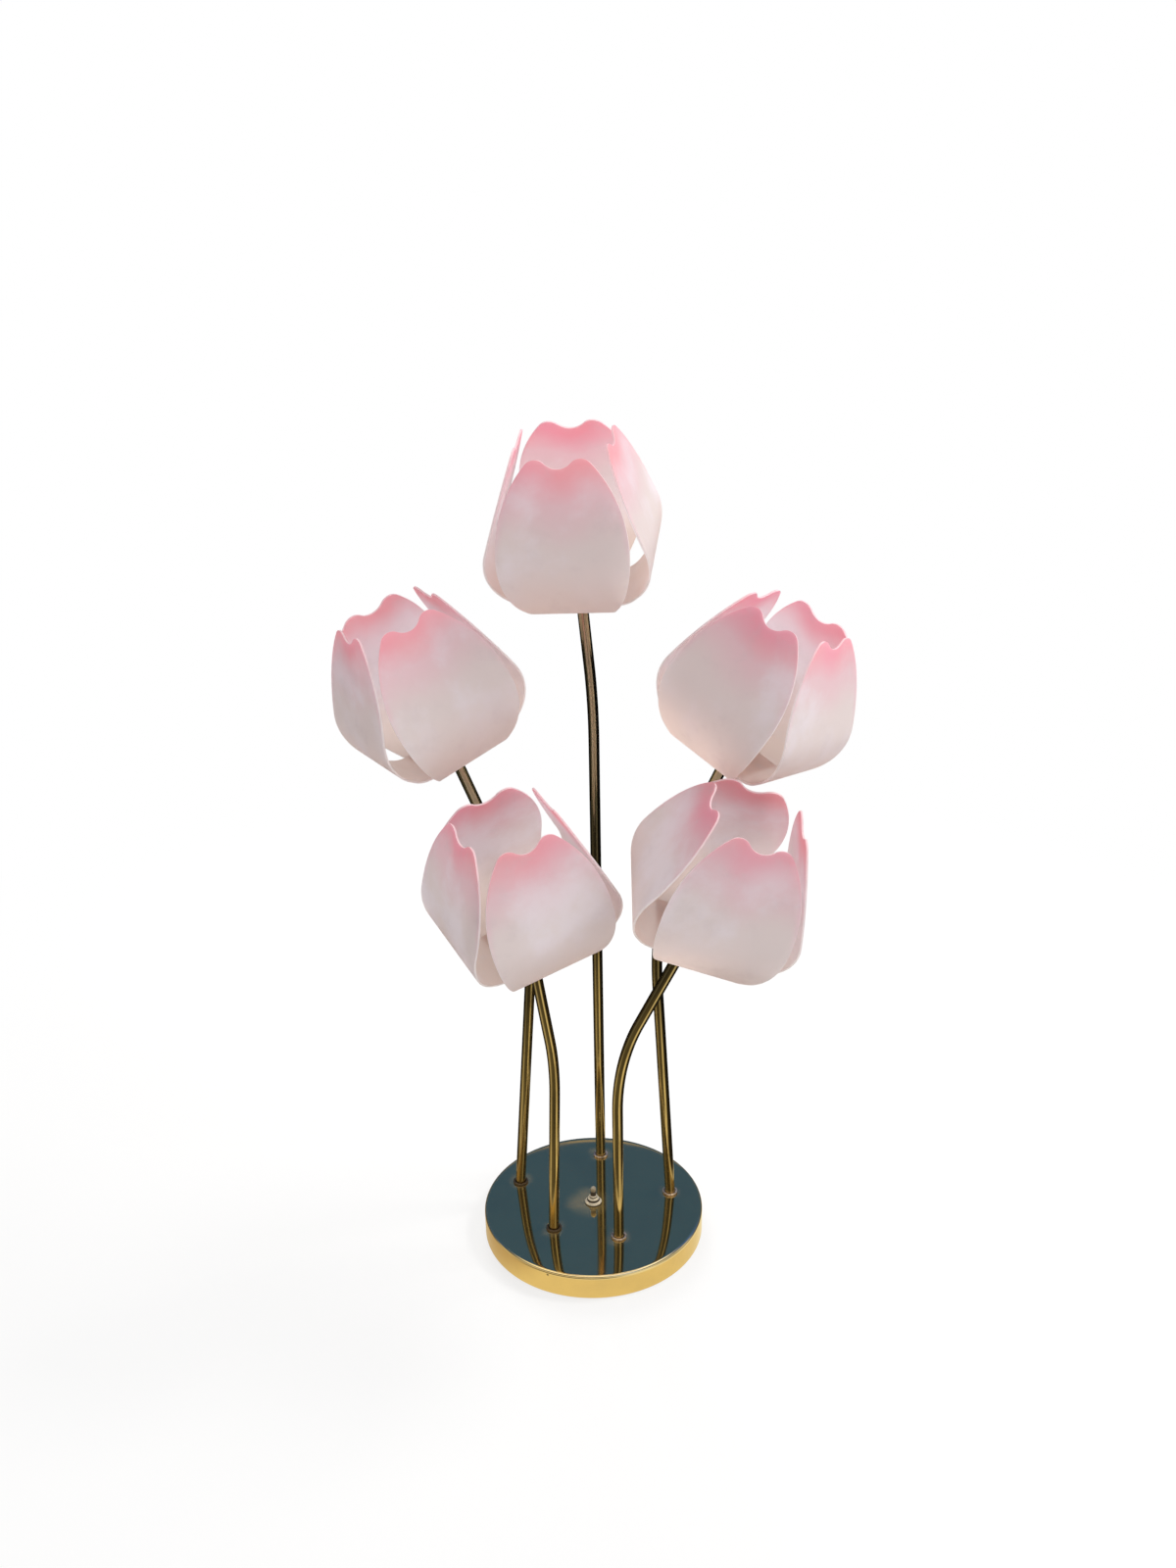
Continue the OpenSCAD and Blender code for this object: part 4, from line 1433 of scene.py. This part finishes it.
def stepped(radius, low, high):
    """Points up a straight side, close enough together to carry a thread."""
    count = max(1, round(abs(high - low) / THREAD_STEP))
    return [(radius, low + (high - low) * k / count) for k in range(count + 1)]


# %% [markdown]
# ## Lamp holders and bulbs
#
# Low in each shade sits a small insulating holder with a metal shell, and a small frosted bulb
# is screwed into it. The photograph doesn't look into the shades far enough to show them.

# %% Holders and their shells
HOLDER_Z, HOLDER_R, CAVITY_R = 7.2, 10.5, 6.55
HOLDER_TOP, CAVITY_Z = HOLDER_Z + 30, HOLDER_Z + 9.0
BORE_R, WIRE_R, BORE_TOP = 3.98, 2.53, CAVITY_Z - 3
SHOULDER_R = HOLDER_R - 0.7
SHELL_R, SHELL_BORE_R, SHELL_TOP = 6.45, 6.1, HOLDER_TOP - 2

holder_mesh = turned(rounded([
    (BORE_R, HOLDER_Z, 0.2), (HOLDER_R, HOLDER_Z, 0.8), (HOLDER_R, HOLDER_TOP - 6, 0.5),
    (SHOULDER_R, HOLDER_TOP - 5.2, 0.5), (SHOULDER_R, HOLDER_TOP, 1.0),
    (CAVITY_R, HOLDER_TOP, 0.6), (CAVITY_R, CAVITY_Z, 0.3),
    (WIRE_R, CAVITY_Z, 0.2), (WIRE_R, BORE_TOP, 0.1), (BORE_R, BORE_TOP, 0.1),
]), sides=72)
for name in STEMS:
    mesh = holder_mesh.copy()
    finish_piece("holder_body_" + name, "holder_" + name, mesh, "holder_plastic", at_head(name))
outside, bore = stepped(SHELL_R, CAVITY_Z, SHELL_TOP), stepped(SHELL_BORE_R, SHELL_TOP, CAVITY_Z)
shell = roll_thread(turned(outside + bore, sides=48), CAVITY_Z + 1, SHELL_TOP - 1, depth=0.1)
place_copies("threaded_shells", "screw_shells", shell, HEADS, "raw_brass")

# %% Bulb caps
CAP_R, CAP_WALL, CAP_Z = 5.9, 0.5, CAVITY_Z + 2
CAP_LOW, CAP_TOP = CAP_Z + 1.4, CAP_Z + 22

cap = [(0, CAP_Z - 1.2), (1.4, CAP_Z - 1.2), (1.85, CAP_Z - 0.9), (2.0, CAP_Z), (4.6, CAP_Z)]
cap += [(CAP_R - 0.2, CAP_Z + 1.0)] + stepped(CAP_R, CAP_LOW, CAP_TOP)
cap += stepped(CAP_R - CAP_WALL, CAP_TOP, CAP_LOW) + [(4.3, CAP_Z + 1.0), (0, CAP_Z + 1.0)]
cap_mesh = roll_thread(turned(cap, sides=48), CAP_LOW, CAP_TOP - 4, depth=0.35)
place_copies("screw_caps", "bulb_caps", cap_mesh, HEADS, "raw_brass")

# %% Bulb glass
BALL_R, HOLLOW_R, BALL_UP, GLASS_DOWN, GLASS_WALL = 11.0, 20.0, 27.0, 6.0, 0.8
GLASS_NECK_R = CAP_R - CAP_WALL - 0.05
HOLLOW_STEPS, BALL_STEPS = 8, 28


def glass_half(wall):
    """The glass from its neck to its top: a neck, a hollow arc that joins it, and a ball."""
    ball, neck, hollow = BALL_R - wall, GLASS_NECK_R - wall, HOLLOW_R + wall
    across = neck + hollow
    drop = math.sqrt((ball + hollow) ** 2 - across**2)
    join = math.atan2(drop, across)
    points = [(neck, wall - GLASS_DOWN), (neck, BALL_UP - drop)]
    for k in range(1, HOLLOW_STEPS + 1):
        a = math.pi - join * k / HOLLOW_STEPS
        points.append((across + hollow * math.cos(a), BALL_UP - drop + hollow * math.sin(a)))
    for k in range(1, BALL_STEPS):
        a = -join + (math.pi / 2 + join) * k / BALL_STEPS
        points.append((ball * math.cos(a), BALL_UP + ball * math.sin(a)))
    points.append((0, BALL_UP + ball))
    return [(r, z + CAP_TOP) for r, z in points]


glass_mesh = turned(glass_half(0) + glass_half(GLASS_WALL)[::-1], sides=64)
for name in STEMS:
    mesh = glass_mesh.copy()
    finish_piece("bulb_glass_" + name, "bulb_" + name, mesh, "bulb_glass", at_head(name))

# %% [markdown]
# ## The underside and the inlet
#
# Felt covers the board that closes the base. Felt has no flat face, so the turned disc gets
# many rings and its points are moved a little by noise. The lead's inlet is a moulded bushing.

# %% Felt and inlet
FELT_R, FELT_T, FELT_RINGS, FELT_UNEVEN, FELT_INSET = 98.4, 2.0, 60, 0.07, 0.08
COLLAR_LOW, COLLAR_HIGH, COLLAR_OUT = -3.2, -1.6, INLET_NECK_R + 0.8
FLANGE_R, FLANGE_H = 6.75, 2.2


def felt_disc():
    radii = [FELT_R * k / FELT_RINGS for k in range(FELT_RINGS + 1)]
    section = [(r, FELT_INSET) for r in radii] + [(r, FELT_T - FELT_INSET) for r in radii[::-1]]
    mesh = turned(section, sides=240)
    for vertex in mesh.vertices:
        soft = noise.noise(vertex.co * 0.9) * 0.5 + noise.noise(vertex.co * 0.17) * 0.5
        vertex.co.z += FELT_UNEVEN * max(-1, min(1, soft))
        vertex.co.xy *= 1 - 0.0008 * abs(noise.noise(vertex.co * 0.5))
    return mesh


finish_piece("felt_disc", "felt_pad", felt_disc(), "felt")
inlet = turned(rounded([
    (INLET_BORE_R, -5.2, 0.2), (INLET_NECK_R, -5.2, 0.4), (INLET_NECK_R, COLLAR_LOW, 0.1),
    (COLLAR_OUT, COLLAR_LOW, 0.3), (COLLAR_OUT, COLLAR_HIGH, 0.3), (INLET_NECK_R, COLLAR_HIGH, 0.1),
    (INLET_NECK_R, 0, 0.05), (FLANGE_R, 0, 0.2), (FLANGE_R, FLANGE_H, 0.9),
    (INLET_BORE_R, FLANGE_H, 0.7),
]))
finish_piece("inlet_bushing", "lead_inlet", inlet, "black_plastic", INLET)

# %% [markdown]
# ## Pieces that stay as the CAD made them
#
# The pieces inside the base and the stems hardly show. Their CAD shapes are right, so they
# stay and only get a finish.

# %% Give the CAD nodes their finishes
DRESSED = {
    "iron": ["base_weight"],
    "steel": ["foot_washers", "shade_washers"],
    "raw_brass": ["shade_nipples", "centre_contacts"],
    "lead": ["wiring_loop", "stem_leads"],
    "board": ["bottom_cover"],
    "black_plastic": ["switch_body"],
}
for finish, nodes in DRESSED.items():
    for node in nodes:
        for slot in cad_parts[node].material_slots:
            slot.link = "OBJECT"
            slot.material = finishes[finish]
    print(finish, "goes on", nodes)

# %% Count the pieces made and their triangles
print("pieces made:", len(made), "triangles:", sum(
    len(p.vertices) - 2 for piece in made for p in piece.data.polygons
))
